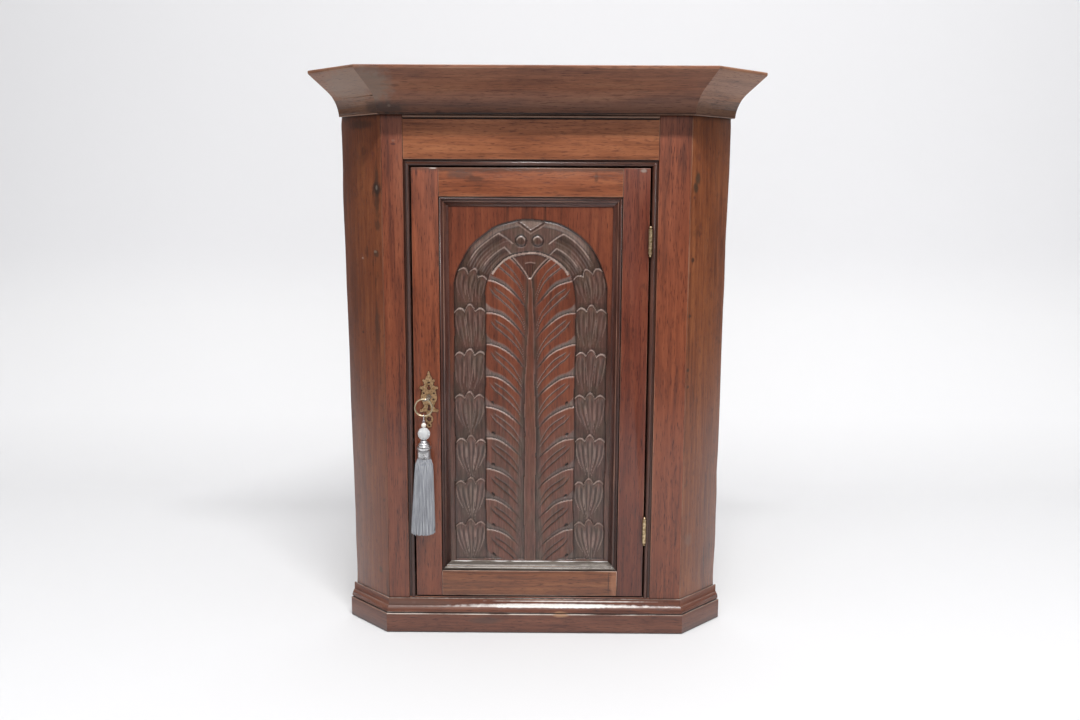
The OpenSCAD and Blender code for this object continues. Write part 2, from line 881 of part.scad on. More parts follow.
// The last husk opens on the arch, and long blades go on from it to the keystone
last_husk_turn = 26;
husk_count = floor((arch_z - husk_z) / husk_pitch) + 1;
husk_tips = concat(
    [for (i = [0 : husk_count - 1]) husk_z - arch_z + i * husk_pitch],
    [arch_way(last_husk_turn)]
);

module husk_border() {
    for (i = [0 : len(husk_tips) - 1]) {
        length = i == 0 ? husk_z - carve_z : husk_tips[i] - husk_tips[i - 1] + 4;
        husk(husk_tips[i], length);
    }
}

// A hollow blade between two radii of the arch, with a slanting end
module blade(r_in, r_out, end_in, end_out) {
    foot_turn = last_husk_turn - 6;
    edge = 2;
    skin([for (k = [[0, 0.3, 0.3], [0.3, 0.85, 0.6], [0.9, 0.88, 0.62], [1, 0.8, 0.82]])
        let (a = foot_turn + (end_in - foot_turn) * k[0], b = foot_turn + (end_out - foot_turn) * k[0])
        let (p = [[r_in, a, 0], [r_in + edge, a, k[1]], [(r_in + r_out) / 2, (a + b) / 2, k[2]],
            [r_out - edge, b, k[1]], [r_out, b, 0]])
        [for (q = p) carved(q[0] * cos(q[1]), arch_z + q[0] * sin(q[1]), q[2] == 0 ? -sink : carve_d * q[2])]
    ]);
}

// Two blades fill the width of the arch, and a rolled rim runs outside them
module arch_blades() {
    rim_w = 10;
    split = arch_in + (arch_out - rim_w - arch_in) * 0.42;
    blade(arch_in - 1, split, 72, 63);
    blade(split, arch_out - rim_w, 69, 62);
    petal(arch_way(84), arch_way(84 - last_husk_turn), arch_out - rim_w / 2 - border_r, rim_w / 2, 0);
}

// Upper edge of a leaflet, whose end at the border is at height z
function leaf_edge(u, z) = z - leaf_drop * pow((arch_in - u) / arch_in, 1.9);

// Height of the sunk crescent under a leaflet: it ends in a hook at the border
function crescent(u) = lookup(u / arch_in, [[0, 1], [0.3, 4], [0.6, 7], [0.84, 5.5], [0.92, 8], [1, 17]]);

// A leaflet has two gouge cuts along it and sinks towards the channel beside the stem
module leaflet(z) {
    shares = [1, 0.96, 0.91, 0.84, 0.72, 0.58, 0.44, 0.3, 0.2];
    skin([for (k = shares)
        let (u = arch_in * k, low = leaf_edge(u, z - leaf_pitch) + crescent(u))
        let (up = leaf_edge(u, z), w = up - low)
        let (h = carve_d * lookup(k, [[0.2, 0.3], [0.36, 0.94], [1, 0.94]]))
        let (cut = carve_d * lookup(k, [[0.2, 0], [0.3, 0.2], [0.5, 0.45], [0.84, 0.35], [0.9, 0]]))
        [
            carved(u, low, -sink), carved(u, low + 1.2, h), carved(u, low + 0.24 * w, h),
            carved(u, low + 0.32 * w, h - cut), carved(u, low + 0.4 * w, h),
            carved(u, low + 0.52 * w, h), carved(u, low + 0.6 * w, h - cut),
            carved(u, low + 0.68 * w, h), carved(u, up - 0.8, h), carved(u, up, -sink)
        ]]);
}

leaf_count = ceil((arch_z + 80 - leaf_z) / leaf_pitch);

module leaf_half() {
    for (i = [0 : leaf_count]) leaflet(leaf_z + i * leaf_pitch);
}

// Outline of the carved field: round top, and straight down to its foot
module field_outline(half, foot_z) {
    translate([0, arch_z]) circle(r = half, $fn = 72);
    translate([-half, foot_z]) square([2 * half, arch_z - foot_z]);
}

// A prism of an outline in the panel's plane, from the face to a depth behind it
module from_face(depth) {
    translate([door_x, panel_set + depth, 0]) rotate([90, 0, 0]) linear_extrude(depth + 1) children();
}

// The stem is a flat band that narrows into the leaf's crown
module stem() {
    top_z = arch_z + 34;
    stem_h = carve_d * 0.97;
    skin([for (p = [[carve_z - 4, 1], [top_z - 160, 0.95], [top_z, 0.45], [top_z + 4, 0.2]])
        let (w = stem_half * p[1])
        [
            carved(-w, p[0], -sink), carved(-w * 0.96, p[0], stem_h),
            carved(w * 0.96, p[0], stem_h), carved(w, p[0], -sink)
        ]]);
}

// The crown is a wedge between the top leaflets, with a small round nick
module crown() {
    foot_z = arch_z + 36;
    half = arch_in * sin(25);
    crown_h = carve_d * 0.7;
    skin([for (p = [[foot_z, 0.1], [foot_z + 12, 0.36], [arch_z + arch_in * 0.86, 0.86], [arch_z + arch_in, 1]])
        let (w = half * p[1])
        [
            carved(-w, p[0], -sink), carved(-w * 0.9, p[0], crown_h),
            carved(w * 0.9, p[0], crown_h), carved(w, p[0], -sink)
        ]]);
}

// Two round bosses and a pointed keystone close the border at the top
module keystone() {
    boss_x = 14;
    boss_r = 6.5;
    boss_top = sink + carve_d * 0.94;
    brow_z = arch_z + arch_in;
    for (side = [-1, 1])
        translate([door_x + side * boss_x, ground_y + sink, arch_z + border_r * 0.91]) rotate([90, 0, 0])
            difference() {
                cylinder(r = boss_r, h = boss_top, $fn = 20);
                translate([0, 0, boss_top]) sphere(r = boss_r / 2, $fn = 16);
            }
    // half of the brow over the bosses: its distance from the middle, its place and its height
    brow = [[46, brow_z + 24, 0.6], [24, brow_z + 31, 0.88], [-1, brow_z + 20, 0.88]];
    mirrored_about_door() skin([for (k = brow)
        [
            carved(k[0], k[1] - 7, -sink), carved(k[0], k[1] - 5, carve_d * k[2]),
            carved(k[0], k[1] + 12, carve_d * (k[2] - 0.3)), carved(k[0], k[1] + 16, -sink)
        ]]);
}

module panel_board() {
    x0 = panel_left_x - groove_d + panel_play;
    x1 = panel_right_x + groove_d - panel_play;
    z0 = panel_z0 - groove_d + panel_play;
    z1 = panel_z1 + groove_d - panel_play;
    tongue_t = groove_w - 0.1;
    translate([x0, groove_y + 0.05, z0]) cube([x1 - x0, tongue_t, z1 - z0]);
    translate([panel_left_x + 0.1, panel_set, panel_z0 + 0.1])
        cube([panel_right_x - panel_left_x - 0.2, panel_t, panel_z1 - panel_z0 - 0.2]);
}

module mirrored_about_door() {
    children();
    translate([door_x, 0, 0]) mirror([1, 0, 0]) translate([-door_x, 0, 0]) children();
}

module door_panel() {
    color(carved_oak) placed() {
        difference() {
            panel_board();
            from_face(carve_d) field_outline(arch_out, carve_z);
        }
        intersection() {
            union() {
                mirrored_about_door() {
                    husk_border();
                    arch_blades();
                }
                keystone();
            }
            from_face(carve_d + sink) difference() {
                field_outline(arch_out, carve_z);
                field_outline(arch_in, carve_z - 5);
            }
        }
        intersection() {
            union() {
                mirrored_about_door() leaf_half();
                stem();
                crown();
            }
            from_face(carve_d + sink) field_outline(arch_in, carve_z);
        }
    }
}

// Lock

lock_screw_l = 4.8;

module at_lock_screws() {
    for (x = [lock_x0 + 5, lock_x1 - 5])
        for (z = [lock_z0 + 5, lock_z1 - 5])
            translate([x, door_t, z]) rotate([-90, 0, 0]) children();
}

module lock_plate() {
    color(iron) placed() difference() {
        translate([lock_x0, door_t, lock_z0]) cube([lock_x1 - lock_x0, lock_sheet, lock_h]);
        keyhole_cut(door_t - 1, lock_sheet + 2);
        at_lock_screws() translate([0, 0, -1]) cylinder(r = screw_r + 0.02, h = lock_sheet + 2, $fn = 24);
    }
}

// The screws' heads lie on the plate at its corners, outside the case's walls
module lock_screws() {
    color(iron) placed() at_lock_screws() {
        translate([0, 0, -lock_screw_l]) cylinder(r = screw_r, h = lock_screw_l + lock_sheet + 0.5, $fn = 24);
        translate([0, 0, lock_sheet]) cylinder(r1 = screw_r + 1.3, r2 = screw_r + 0.5, h = 1.2, $fn = 24);
    }
}

bolt_z0 = key_z + 6.2;
bolt_y0 = door_t + lock_sheet + bolt_play;
case_z0 = lock_z0 + 9;
case_z1 = lock_z1 - 9;

module lock_case() {
    case_y0 = door_t + lock_sheet;
    case_h = case_z1 - case_z0;
    color(iron) placed() difference() {
        translate([lock_x0, case_y0, case_z0]) cube([lock_x1 - lock_x0, lock_d - lock_sheet, case_h]);
        translate([lock_x0 + lock_sheet, case_y0 - 1, case_z0 + lock_sheet])
            cube([lock_x1 - lock_x0 - 2 * lock_sheet, lock_d - 2 * lock_sheet + 1, case_h - 2 * lock_sheet]);
        translate([lock_x0 - 1, case_y0 - 1, bolt_z0 - bolt_play])
            cube([lock_sheet + 2, 1 + bolt_t + 2 * bolt_play, bolt_h + 2 * bolt_play]);
    }
}

// The bolt slides to the left, pushed by the key's bit in its talon
talon_half = 3.6;
talon_d = 4;
bolt_throw = 12;

module lock_bolt() {
    tail_x = lock_x1 - lock_sheet - 1;
    talon_x = key_x + bolt_throw / 2;
    color(iron) placed() difference() {
        translate([lock_x0 + 0.2, bolt_y0, bolt_z0]) cube([tail_x - lock_x0 - 0.2, bolt_t, bolt_h]);
        translate([talon_x - talon_half, bolt_y0 - 1, bolt_z0 - 1]) cube([2 * talon_half, bolt_t + 2, talon_d + 1]);
    }
}

// Key: shank along Y, bit inside the lock, bow in front of the door
module key() {
    shank_back = door_t + lock_sheet + 8;
    bow_front = -bow_stand - bow_l / 2;
    collar_y = -escutcheon_t - 4;
    color(iron) placed() translate([key_x, 0, key_z]) rotate([0, -key_tilt, 0]) {
        translate([0, shank_back, 0]) rotate([90, 0, 0])
            cylinder(r = shank_r, h = shank_back - bow_front - bow_l + bow_rim);
        translate([0, collar_y, 0]) rotate([90, 0, 0]) cylinder(r = shank_r + 1.1, h = 2);
        translate([0, bolt_y0 + 0.2, -bit_t / 2]) cube([bit_reach, bolt_t - 0.4, bit_t]);
        translate([0, -bow_stand, 0]) bow();
    }
}

// The bow is an oval loop, in the plane of the shank and the bit
module bow() {
    squeeze = (bow_w - bow_rim) / (bow_l - bow_rim);
    rows = 32;
    skin_closed([for (i = [0 : rows - 1])
        let (a = 360 * i / rows)
        let (c = [(bow_w - bow_rim) / 2 * cos(a), (bow_l - bow_rim) / 2 * sin(a)])
        let (t = [-(bow_w - bow_rim) * sin(a), (bow_l - bow_rim) * cos(a)])
        let (n = [t.y, -t.x] / norm(t))
        [for (k = [0 : 7]) let (b = 360 * k / 8 + 22.5)
            [c.x + n.x * bow_rim / 2 * cos(b), c.y + n.y * bow_rim / 2 * cos(b), bow_rim / 2 * sin(b)]]
    ]);
}

// Closed loop of rings
module skin_closed(rings) {
    n = len(rings[0]);
    m = len(rings);
    points = [for (r = rings) for (p = r) p];
    sides = [for (i = [0 : m - 1]) for (j = [0 : n - 1])
        let (a = i * n, b = ((i + 1) % m) * n, k = (j + 1) % n)
        each [[a + j, b + k, b + j], [a + j, a + k, b + k]]];
    polyhedron(points = points, faces = sides);
}

// Pierced escutcheon, drawn about the keyhole's centre

function arc(c, r, a0, a1, n) = [for (i = [0 : n]) let (a = a0 + (a1 - a0) * i / n) c + r * [cos(a), sin(a)]];

// Right half of the outline from the finial down: outward curves run clockwise, bays the other way
escutcheon_half = concat(
    arc([0, 41.2], 1.3, 84, -50, 6), arc([0, 38.3], 2.3, 60, -40, 6), [[4.6, 32.4], [5.6, 28.4]],
    arc([8.4, 26.7], 2, 150, -110, 12), arc([9.8, 20], 2.7, 120, 250, 8), [[10.6, 16.8]],
    arc([13.3, 14.3], 2.3, 130, -80, 10), arc([13.2, 9.6], 2.4, 105, 245, 8),
    arc([0, -2], 13.6, 30, -42, 14), arc([10.8, -16.8], 3, 110, 235, 8), [[10.5, -21]],
    arc([13.4, -25], 2.4, 120, -120, 12), [[9.5, -26.2]], arc([6.6, -29.2], 2.6, 60, 190, 8),
    [[3, -31.4]], arc([0, -39.4], 6.9, 65, -66, 14), arc([0, -50.2], 4.2, 68, -86, 12)
);

module escutcheon_outline() {
    n = len(escutcheon_half);
    polygon(concat(escutcheon_half, [for (i = [n - 1 : -1 : 0]) [-escutcheon_half[i].x, escutcheon_half[i].y]]));
}

// A round hole with a narrow slot above it
module drop_hole(z, r, slot_w, top_z) {
    a = asin(slot_w / 2 / r);
    polygon(concat(arc([0, z], r, 90 - a, -270 + a, 30), [[-slot_w / 2, top_z], [slot_w / 2, top_z]]));
}

module escutcheon_piercings() {
    translate([-2.2, 21.8]) square([4.4, 3]);
    drop_hole(13.6, 3.3, 3.8, 19.4);
    drop_hole(-22.2, 2.8, 3.4, -14.6);
    for (side = [-1, 1]) {
        translate([side * 8.6, 5]) circle(r = 1.7);
        translate([side * 7.6, -5.6]) circle(r = 1.9);
    }
    translate([0, -39.4]) circle(r = 3.9);
    translate([0, -50.2]) circle(r = 1.9);
    keyhole(key_play);
}

escutcheon_pin_r = 0.6;
escutcheon_pin_l = 8;

module at_escutcheon_pins() {
    for (p = [[0, 31], [-10.4, 13.6], [10.4, 13.6], [-10.2, -23.6], [10.2, -23.6]])
        translate([key_x + p.x, 0, key_z + p.y]) rotate([90, 0, 0]) children();
}

module escutcheon() {
    color(brass) placed() difference() {
        translate([key_x, 0, key_z]) rotate([90, 0, 0]) linear_extrude(escutcheon_t) escutcheon_outline();
        translate([key_x, 1, key_z]) rotate([90, 0, 0]) linear_extrude(escutcheon_t + 2) escutcheon_piercings();
        at_escutcheon_pins() translate([0, 0, -1])
            cylinder(r = escutcheon_pin_r + 0.02, h = escutcheon_t + 2, $fn = 16);
    }
}

module escutcheon_pins() {
    color(brass) placed() at_escutcheon_pins() {
        translate([0, 0, -escutcheon_pin_l])
            cylinder(r = escutcheon_pin_r, h = escutcheon_pin_l + escutcheon_t + 0.3, $fn = 16);
        translate([0, 0, escutcheon_t]) cylinder(r1 = 1.3, r2 = 0.8, h = 0.7, $fn = 16);
    }
}

// Key ring of two turns of wire, hung on the bow's lower rim
module key_ring() {
    color(steel) placed() translate([rim_x, ring_y, ring_z]) rotate([90, 0, 0]) rotate_extrude($fn = 72) {
        for (side = [-1, 1]) translate([ring_r, side * ring_wire_r * 0.8]) circle(r = ring_wire_r, $fn = 24);
        translate([ring_r - ring_wire_r, -ring_wire_r * 0.8]) square([2 * ring_wire_r, ring_wire_r * 1.6]);
    }
}

// Link: a long loop of wire in the plane across the ring
module tassel_link() {
    color(silver) placed() translate([rim_x, ring_y, 0]) rotate([90, 0, 90]) {
        translate([0, bend_top_z, 0]) rotate_extrude(angle = 180, $fn = 32)
            translate([bend_r, 0]) circle(r = link_wire_r, $fn = 16);
        translate([0, bend_low_z, 0]) rotate(180) rotate_extrude(angle = 180, $fn = 32)
            translate([bend_r, 0]) circle(r = link_wire_r, $fn = 16);
        for (side = [-1, 1]) translate([side * bend_r, bend_top_z, 0]) rotate([90, 0, 0])
            cylinder(r = link_wire_r, h = bend_top_z - bend_low_z, $fn = 16);
    }
}

module at_tassel(z) {
    placed() translate([rim_x, ring_y, z]) children();
}

module tassel_head_pin() {
    pin_l = eye_z - eye_r - cap_top_z + 3;
    color(silver) {
        at_tassel(eye_z) rotate([90, 0, 0]) rotate_extrude($fn = 32)
            translate([eye_r, 0]) circle(r = eye_wire_r, $fn = 16);
        at_tassel(eye_z - eye_r - pin_l) cylinder(r = head_pin_r, h = pin_l, $fn = 24);
    }
}

module pearl_bead() {
    color(silver) at_tassel(pearl_z) difference() {
        sphere(r = pearl_r);
        translate([0, 0, -pearl_r - 1]) cylinder(r = head_pin_r + bead_play, h = 2 * pearl_r + 2);
    }
}

// The crystal bead is cut with rows of flat facets
module crystal_bead() {
    color(glass) at_tassel(crystal_z) difference() {
        sphere(r = crystal_r, $fn = 12);
        translate([0, 0, -crystal_r - 1]) cylinder(r = head_pin_r + bead_play, h = 2 * crystal_r + 2);
    }
}

// Bell cap with a rolled lip over a straight collar
module tassel_cap() {
    dome_h = cap_h * 0.42;
    color(silver) at_tassel(skirt_top_z) difference() {
        rotate_extrude() difference() {
            union() {
                square([cap_r, cap_h - dome_h]);
                translate([cap_r - 1, cap_h - dome_h]) circle(r = 2.2);
                translate([0, cap_h - dome_h]) square([cap_r - 0.2, dome_h * 0.4]);
                intersection() {
                    translate([0, cap_h - cap_r]) circle(r = cap_r);
                    translate([0, cap_h - dome_h]) square([cap_r, dome_h]);
                }
            }
            translate([-5, -1]) square([5, cap_h + 2]);
            translate([0, -1]) square([cap_r - cap_sheet, cap_h - dome_h]);
        }
        translate([0, 0, -1]) cylinder(r = head_pin_r + bead_play, h = cap_h + 2);
    }
}

// Thread skirt, which hangs from inside the cap and spreads towards its hem
module tassel_skirt() {
    neck_r = cap_r - cap_sheet - 0.1;
    neck_h = cap_h * 0.5;
    color(thread) at_tassel(skirt_top_z - skirt_l) rotate_extrude() polygon([
        [0, 0], [skirt_r - 1, 0], [skirt_r, 1.5], [skirt_r - 0.6, skirt_l * 0.25],
        [skirt_r - 2.4, skirt_l * 0.6], [skirt_r - 4.6, skirt_l * 0.88], [neck_r + 2.4, skirt_l - 4],
        [neck_r, skirt_l - 0.4], [neck_r, skirt_l + neck_h], [0, skirt_l + neck_h]
    ]);
}

back_board_left(0);  // back_board_left_1
back_board_left(1);  // back_board_left_2
back_board_left(2);  // back_board_left_3
back_board_right(0);  // back_board_right_1
back_board_right(1);  // back_board_right_2
back_board_right(2);  // back_board_right_3
top_board();
bottom_board();
lower_shelf();
upper_shelf();
canted_side_left();
canted_side_right();
frame_stile_left();
frame_stile_right();
frame_top_rail();
frame_bottom_rail();
opening_bead_left();
opening_bead_right();
opening_bead_top();
cornice_front();
cornice_left();
cornice_right();
base_moulding_front();
base_moulding_left();
base_moulding_right();
hinge_upper_frame_leaf();
hinge_lower_frame_leaf();
hinge_upper_pin();
hinge_lower_pin();
hinge_screws_frame();
door_stile_left();
door_stile_right();
door_top_rail();
door_bottom_rail();
door_panel();
panel_moulding_left();
panel_moulding_right();
panel_moulding_top();
panel_moulding_bottom();
hinge_upper_door_leaf();
hinge_lower_door_leaf();
hinge_screws_door();
lock_plate();
lock_case();
lock_screws();
escutcheon();
escutcheon_pins();
lock_bolt();
key();
key_ring();
tassel_link();
tassel_head_pin();
pearl_bead();
crystal_bead();
tassel_cap();
tassel_skirt();
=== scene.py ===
# %% [markdown]
# # A hanging corner cupboard in oak
# This lesson dresses a corner cupboard: a carved door between two canted sides, under a hollow cornice.
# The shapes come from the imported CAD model, which is loaded first and never moved. Blender then gives
# each board its own grain, wear and polish, carves the door panel and hangs the tassel on its key.

# %% Load the cupboard's frame
import bpy, json, math, random
import numpy as np
from mathutils import Matrix, Vector


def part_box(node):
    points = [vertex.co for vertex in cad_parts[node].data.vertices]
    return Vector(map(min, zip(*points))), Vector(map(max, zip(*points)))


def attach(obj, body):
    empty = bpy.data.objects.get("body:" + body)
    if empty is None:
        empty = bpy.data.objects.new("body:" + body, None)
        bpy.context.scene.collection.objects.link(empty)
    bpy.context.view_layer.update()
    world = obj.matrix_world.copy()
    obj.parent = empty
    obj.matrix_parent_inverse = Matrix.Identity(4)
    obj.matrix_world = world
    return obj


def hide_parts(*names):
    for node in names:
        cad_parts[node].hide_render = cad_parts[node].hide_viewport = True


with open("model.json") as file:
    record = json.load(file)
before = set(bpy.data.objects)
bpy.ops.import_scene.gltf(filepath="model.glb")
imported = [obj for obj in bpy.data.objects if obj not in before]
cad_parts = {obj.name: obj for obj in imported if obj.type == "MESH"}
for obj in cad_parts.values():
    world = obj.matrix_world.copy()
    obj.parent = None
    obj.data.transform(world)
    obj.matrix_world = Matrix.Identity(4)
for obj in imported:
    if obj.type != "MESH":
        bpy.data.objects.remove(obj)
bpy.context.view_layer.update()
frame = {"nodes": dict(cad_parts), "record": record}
rides_on = {node: body for body, nodes in frame["record"]["behaviour"]["bodies"].items() for node in nodes}
slot_of = {part["node"]: part["material_slot"] for part in frame["record"]["subparts"]}
scene = bpy.context.scene
MM = 0.001
FRONT = -163 * MM        # the face of the cupboard's front frame
CANT_START = 252.5 * MM  # where the front ends and a cant begins, from the cupboard's middle
CANT_LENGTH = 101.8 * MM
DOOR_X = -8.75 * MM      # the middle of the door

# %% [markdown]
# ## Camera
# The photograph was taken from a little under two metres away, at three quarters of the cupboard's height. Its
# camera could be placed by eye, but it was worked out from the cupboard's straight edges instead, and is written
# down as a place, a focal length and three small turns, so that every edge falls where the photograph has it.

# %% Camera
def new_object(name, data):
    made = bpy.data.objects.new(name, data)
    scene.collection.objects.link(made)
    return made


yaw, pitch, roll = 0.0060886, -0.1607118, -0.0047577
ahead = Vector((-math.sin(yaw) * math.cos(pitch), math.cos(yaw) * math.cos(pitch), math.sin(pitch)))
level_right = Vector((math.cos(yaw), math.sin(yaw), 0))
level_up = level_right.cross(ahead)
cam_right = math.cos(roll) * level_right - math.sin(roll) * level_up
cam_up = math.sin(roll) * level_right + math.cos(roll) * level_up
camera = new_object("camera", bpy.data.cameras.new("camera"))
camera.data.sensor_width = 36
camera.data.lens = 36 * 1031.92 / 1080     # the focal length was found in pixels of a picture 1080 wide
camera.matrix_world = Matrix.Translation((0.0181, -1.86856, 0.75608)) @ Matrix(
    (cam_right, cam_up, -ahead)).transposed().to_4x4()
scene.camera = camera
print("lens in mm:", round(camera.data.lens, 2))

# %% [markdown]
# ## Colours and nodes
# A colour is picked from a photograph in sRGB, while Blender's nodes count light in linear steps, so one small
# function turns the first into the second. Another adds a node, sets its values and joins its inputs. Every
# finish below is built from them, which keeps a long material readable from top to bottom.

# %% Helpers for finishes
def hex_colour(code):
    """Linear colour of an sRGB hex code."""
    parts = [int(code[i:i + 2], 16) / 255 for i in (1, 3, 5)]
    return tuple(c / 12.92 if c <= 0.04045 else ((c + 0.055) / 1.055) ** 2.4 for c in parts) + (1.0,)


def set_inputs(node, **inputs):
    """Sets a node's inputs by their names, or by number as in0, in1 and so on. A value is a number, a hex colour, an
    output socket, or another node, which gives its first output."""
    for name, value in inputs.items():
        if name[2:].isdigit():
            socket = node.inputs[int(name[2:])]
        else:
            socket = next(s for s in node.inputs if s.name.lower() == name.replace("_", " ").lower() and s.enabled)
        if isinstance(value, bpy.types.Node):
            value = next(s for s in value.outputs if s.enabled)
        if isinstance(value, bpy.types.NodeSocket):
            node.id_data.links.new(value, socket)
        else:
            socket.default_value = hex_colour(value) if isinstance(value, str) else value


def add_node(tree, kind, **values):
    """Adds a node. Names that start with a capital and numbered ones are its inputs, and the rest its settings."""
    node = tree.nodes.new("ShaderNode" + kind)
    inputs = {name: value for name, value in values.items() if name[0].isupper() or name[2:].isdigit()}
    for name, value in values.items():
        if name not in inputs:
            setattr(node, name, value)
    set_inputs(node, **inputs)
    return node


def set_ramp(ramp, stops):
    """Gives a colour ramp its stops, as (place, colour) pairs."""
    elements = ramp.color_ramp.elements
    while len(elements) > 1:
        elements.remove(elements[-1])
    for i, (place, colour) in enumerate(stops):
        stop = elements[0] if i == 0 else elements.new(place)
        stop.position = place
        stop.color = hex_colour(colour) if isinstance(colour, str) else colour
    return ramp


def new_finish(name, **inputs):
    """A material with its tree and its Principled shader, whose plain inputs are set."""
    finish = bpy.data.materials.new(name)
    finish.use_nodes = True
    shader = finish.node_tree.nodes["Principled BSDF"]
    set_inputs(shader, **inputs)
    return finish, finish.node_tree, shader


print("oak red-brown in linear light:", [round(c, 3) for c in hex_colour("#7e4936")])

# %% [markdown]
# ## Stage and light
# The cupboard stands in a white studio sweep: the floor runs up into the wall behind in one curve, so no corner
# shows. A row of soft ceiling lamps in front throws the cornice's shadow on the rail below it, and pale light
# from the whole room fills the rest.

# %% Studio sweep
def object_mode():
    if bpy.context.mode != "OBJECT":
        bpy.ops.object.mode_set(mode="OBJECT")


def edit_mode(select=None):
    """Goes into edit mode on the active piece, and selects all or nothing there if asked."""
    bpy.ops.object.mode_set(mode="EDIT")
    if select:
        bpy.ops.mesh.select_all(action=select)


def deselect():
    object_mode()
    bpy.ops.object.select_all(action="DESELECT")


def pick(piece):
    """Selects one piece alone."""
    deselect()
    piece.select_set(True)
    bpy.context.view_layer.objects.active = piece


def pick_no_edges(piece):
    """Clears a piece's selection, ready for edges to be selected in code."""
    bpy.context.view_layer.objects.active = piece
    edit_mode("DESELECT")
    bpy.ops.mesh.select_mode(type="EDGE")
    object_mode()


def settle(piece, name):
    """Names a piece and puts its place into its mesh."""
    piece.name = piece.data.name = name
    pick(piece)
    bpy.ops.object.transform_apply(location=True, rotation=True, scale=True)


deselect()
PAPER_Y = -3.8         # the middle of the paper before it is trimmed, in metres
KEPT_WIDTH = 0.47      # the share of its nine metres that is kept
FRONT_EDGE = -1.5      # where it ends before the cupboard
bpy.ops.mesh.primitive_plane_add(size=9, location=(0, PAPER_Y, -0.6 * MM))
sweep = bpy.context.object
pick_no_edges(sweep)
for edge in sweep.data.edges:
    edge.select = all(sweep.data.vertices[v].co.y > 0 for v in edge.vertices)
edit_mode()
bpy.ops.mesh.spin(steps=16, angle=math.radians(-90), center=(0, 0.7, 0.6), axis=(1, 0, 0))
bpy.ops.mesh.extrude_region_move(TRANSFORM_OT_translate={"value": (0, 0, 4)})
object_mode()
# the paper ends a metre and a half in front and two to each side, so only the cupboard's foot mirrors it
for v in sweep.data.vertices:
    v.co.x *= KEPT_WIDTH
    if v.co.y < -2:
        v.co.y = FRONT_EDGE - PAPER_Y
settle(sweep, "studio_sweep")
bpy.ops.object.shade_smooth()
print("sweep reaches y", round(max(v.co.y for v in sweep.data.vertices), 2), "and z",
      round(max(v.co.z for v in sweep.data.vertices), 2))

# %% Sweep finish, lamps and room light
# Matt white paint. The camera, and what mirrors or looks through to it, sees the sweep a little brighter than the
# lamps alone would show it, while the cupboard's shadow stays on it.
paint, tree, shader = new_finish("matt_white_sweep", Roughness=0.9, Specular_IOR_Level=0.1, Emission_Color="#ffffff")
# the lamps hang overhead, so the floor is painted a little darker than the upright part to look the same
upright = add_node(tree, "SeparateXYZ", Vector=add_node(tree, "NewGeometry").outputs["Normal"])
tone = set_ramp(add_node(tree, "ValToRGB", Fac=upright.outputs["Z"]),
                [(0.0, "#e6e6e8"), (0.35, "#e5e5e6"), (0.8, "#dfdfe0"), (1.0, "#d5d5d6")])
seen = add_node(tree, "LightPath")
eye_ray = add_node(tree, "Math", operation="MAXIMUM", in0=seen.outputs["Is Camera Ray"],
                   in1=seen.outputs["Is Transmission Ray"])
eye_ray = add_node(tree, "Math", operation="MAXIMUM", in0=eye_ray, in1=seen.outputs["Is Glossy Ray"])
lift = add_node(tree, "Math", operation="MULTIPLY", in0=eye_ray, in1=0.06)
set_inputs(shader, Base_Color=tone, Emission_Strength=lift)
# the paper shows from its painted side only, so the cupboard's back can be looked at through it
clear = add_node(tree, "BsdfTransparent")
one_sided = add_node(tree, "MixShader", in0=add_node(tree, "NewGeometry").outputs["Backfacing"], in1=shader, in2=clear)
set_inputs(tree.nodes["Material Output"], Surface=one_sided)
sweep.data.materials.append(paint)


def soft_lamp(name, place, aim, width, height, watts):
    lamp = new_object(name, bpy.data.lights.new(name, "AREA"))
    lamp.data.shape, lamp.data.size, lamp.data.size_y, lamp.data.energy = "RECTANGLE", width, height, watts
    turn = (Vector(aim) - Vector(place)).to_track_quat("-Z", "Y")
    lamp.matrix_world = Matrix.Translation(place) @ turn.to_matrix().to_4x4()
    return lamp


# place and aim in metres, width and depth in metres, and watts
soft_lamp("ceiling_lamps", (0.45, -1.95, 3.36), (0.45, -0.2, 0.55), 1.5, 0.1, 99)
soft_lamp("ceiling_wash", (-0.9, -2.2, 3.73), (-0.9, -0.2, 0.5), 1.6, 0.3, 18)
# light from the room in front, held out of mirror images as a polarising filter would do
room_front = soft_lamp("room_front", (0, -3.3, 1.2), (0, 0, 0.5), 2.4, 1.4, 18)
room_front.visible_glossy = False
world = bpy.data.worlds.new("pale_room")
scene.world = world
world.use_nodes = True
# the room: bright overhead, dimmer towards the far walls that the waxed front would mirror
tree = world.node_tree
direction = add_node(tree, "TexCoord").outputs["Generated"]
rise = add_node(tree, "SeparateXYZ", Vector=direction)
ramp = set_ramp(add_node(tree, "ValToRGB", Fac=rise.outputs["Z"]),
                [(0.0, "#3c3a3a"), (0.12, "#4a4848"), (0.33, "#969697"), (0.6, "#d2d2d3"), (1.0, "#dcdcdd")])
set_inputs(tree.nodes["Background"], Color=ramp, Strength=1.24)
scene.view_settings.view_transform = "Standard"

# %% [markdown]
# ## Dressing a board
# A CAD board has razor-sharp arrises and no grain. Each one that shows is copied, its loose triangles are joined
# into whole faces, and the arrises round its front faces are taken off by a fraction of a millimetre, as a plane
# and two centuries of dusters do. That thin rounding is what makes a joint between two boards show as a line.

# %% Copy and soften a board
def maker_copy(node):
    """A copy of a CAD node with whole faces, which stands for it and rides on its body."""
    mesh = frame["nodes"][node].data.copy()
    mesh.materials.clear()
    piece = new_object(node + "_dressed", mesh)
    pick(piece)
    edit_mode("SELECT")
    bpy.ops.mesh.remove_doubles(threshold=2e-6)
    bpy.ops.mesh.dissolve_limited(angle_limit=math.radians(0.4))
    object_mode()
    stands_for(piece, node)
    return piece


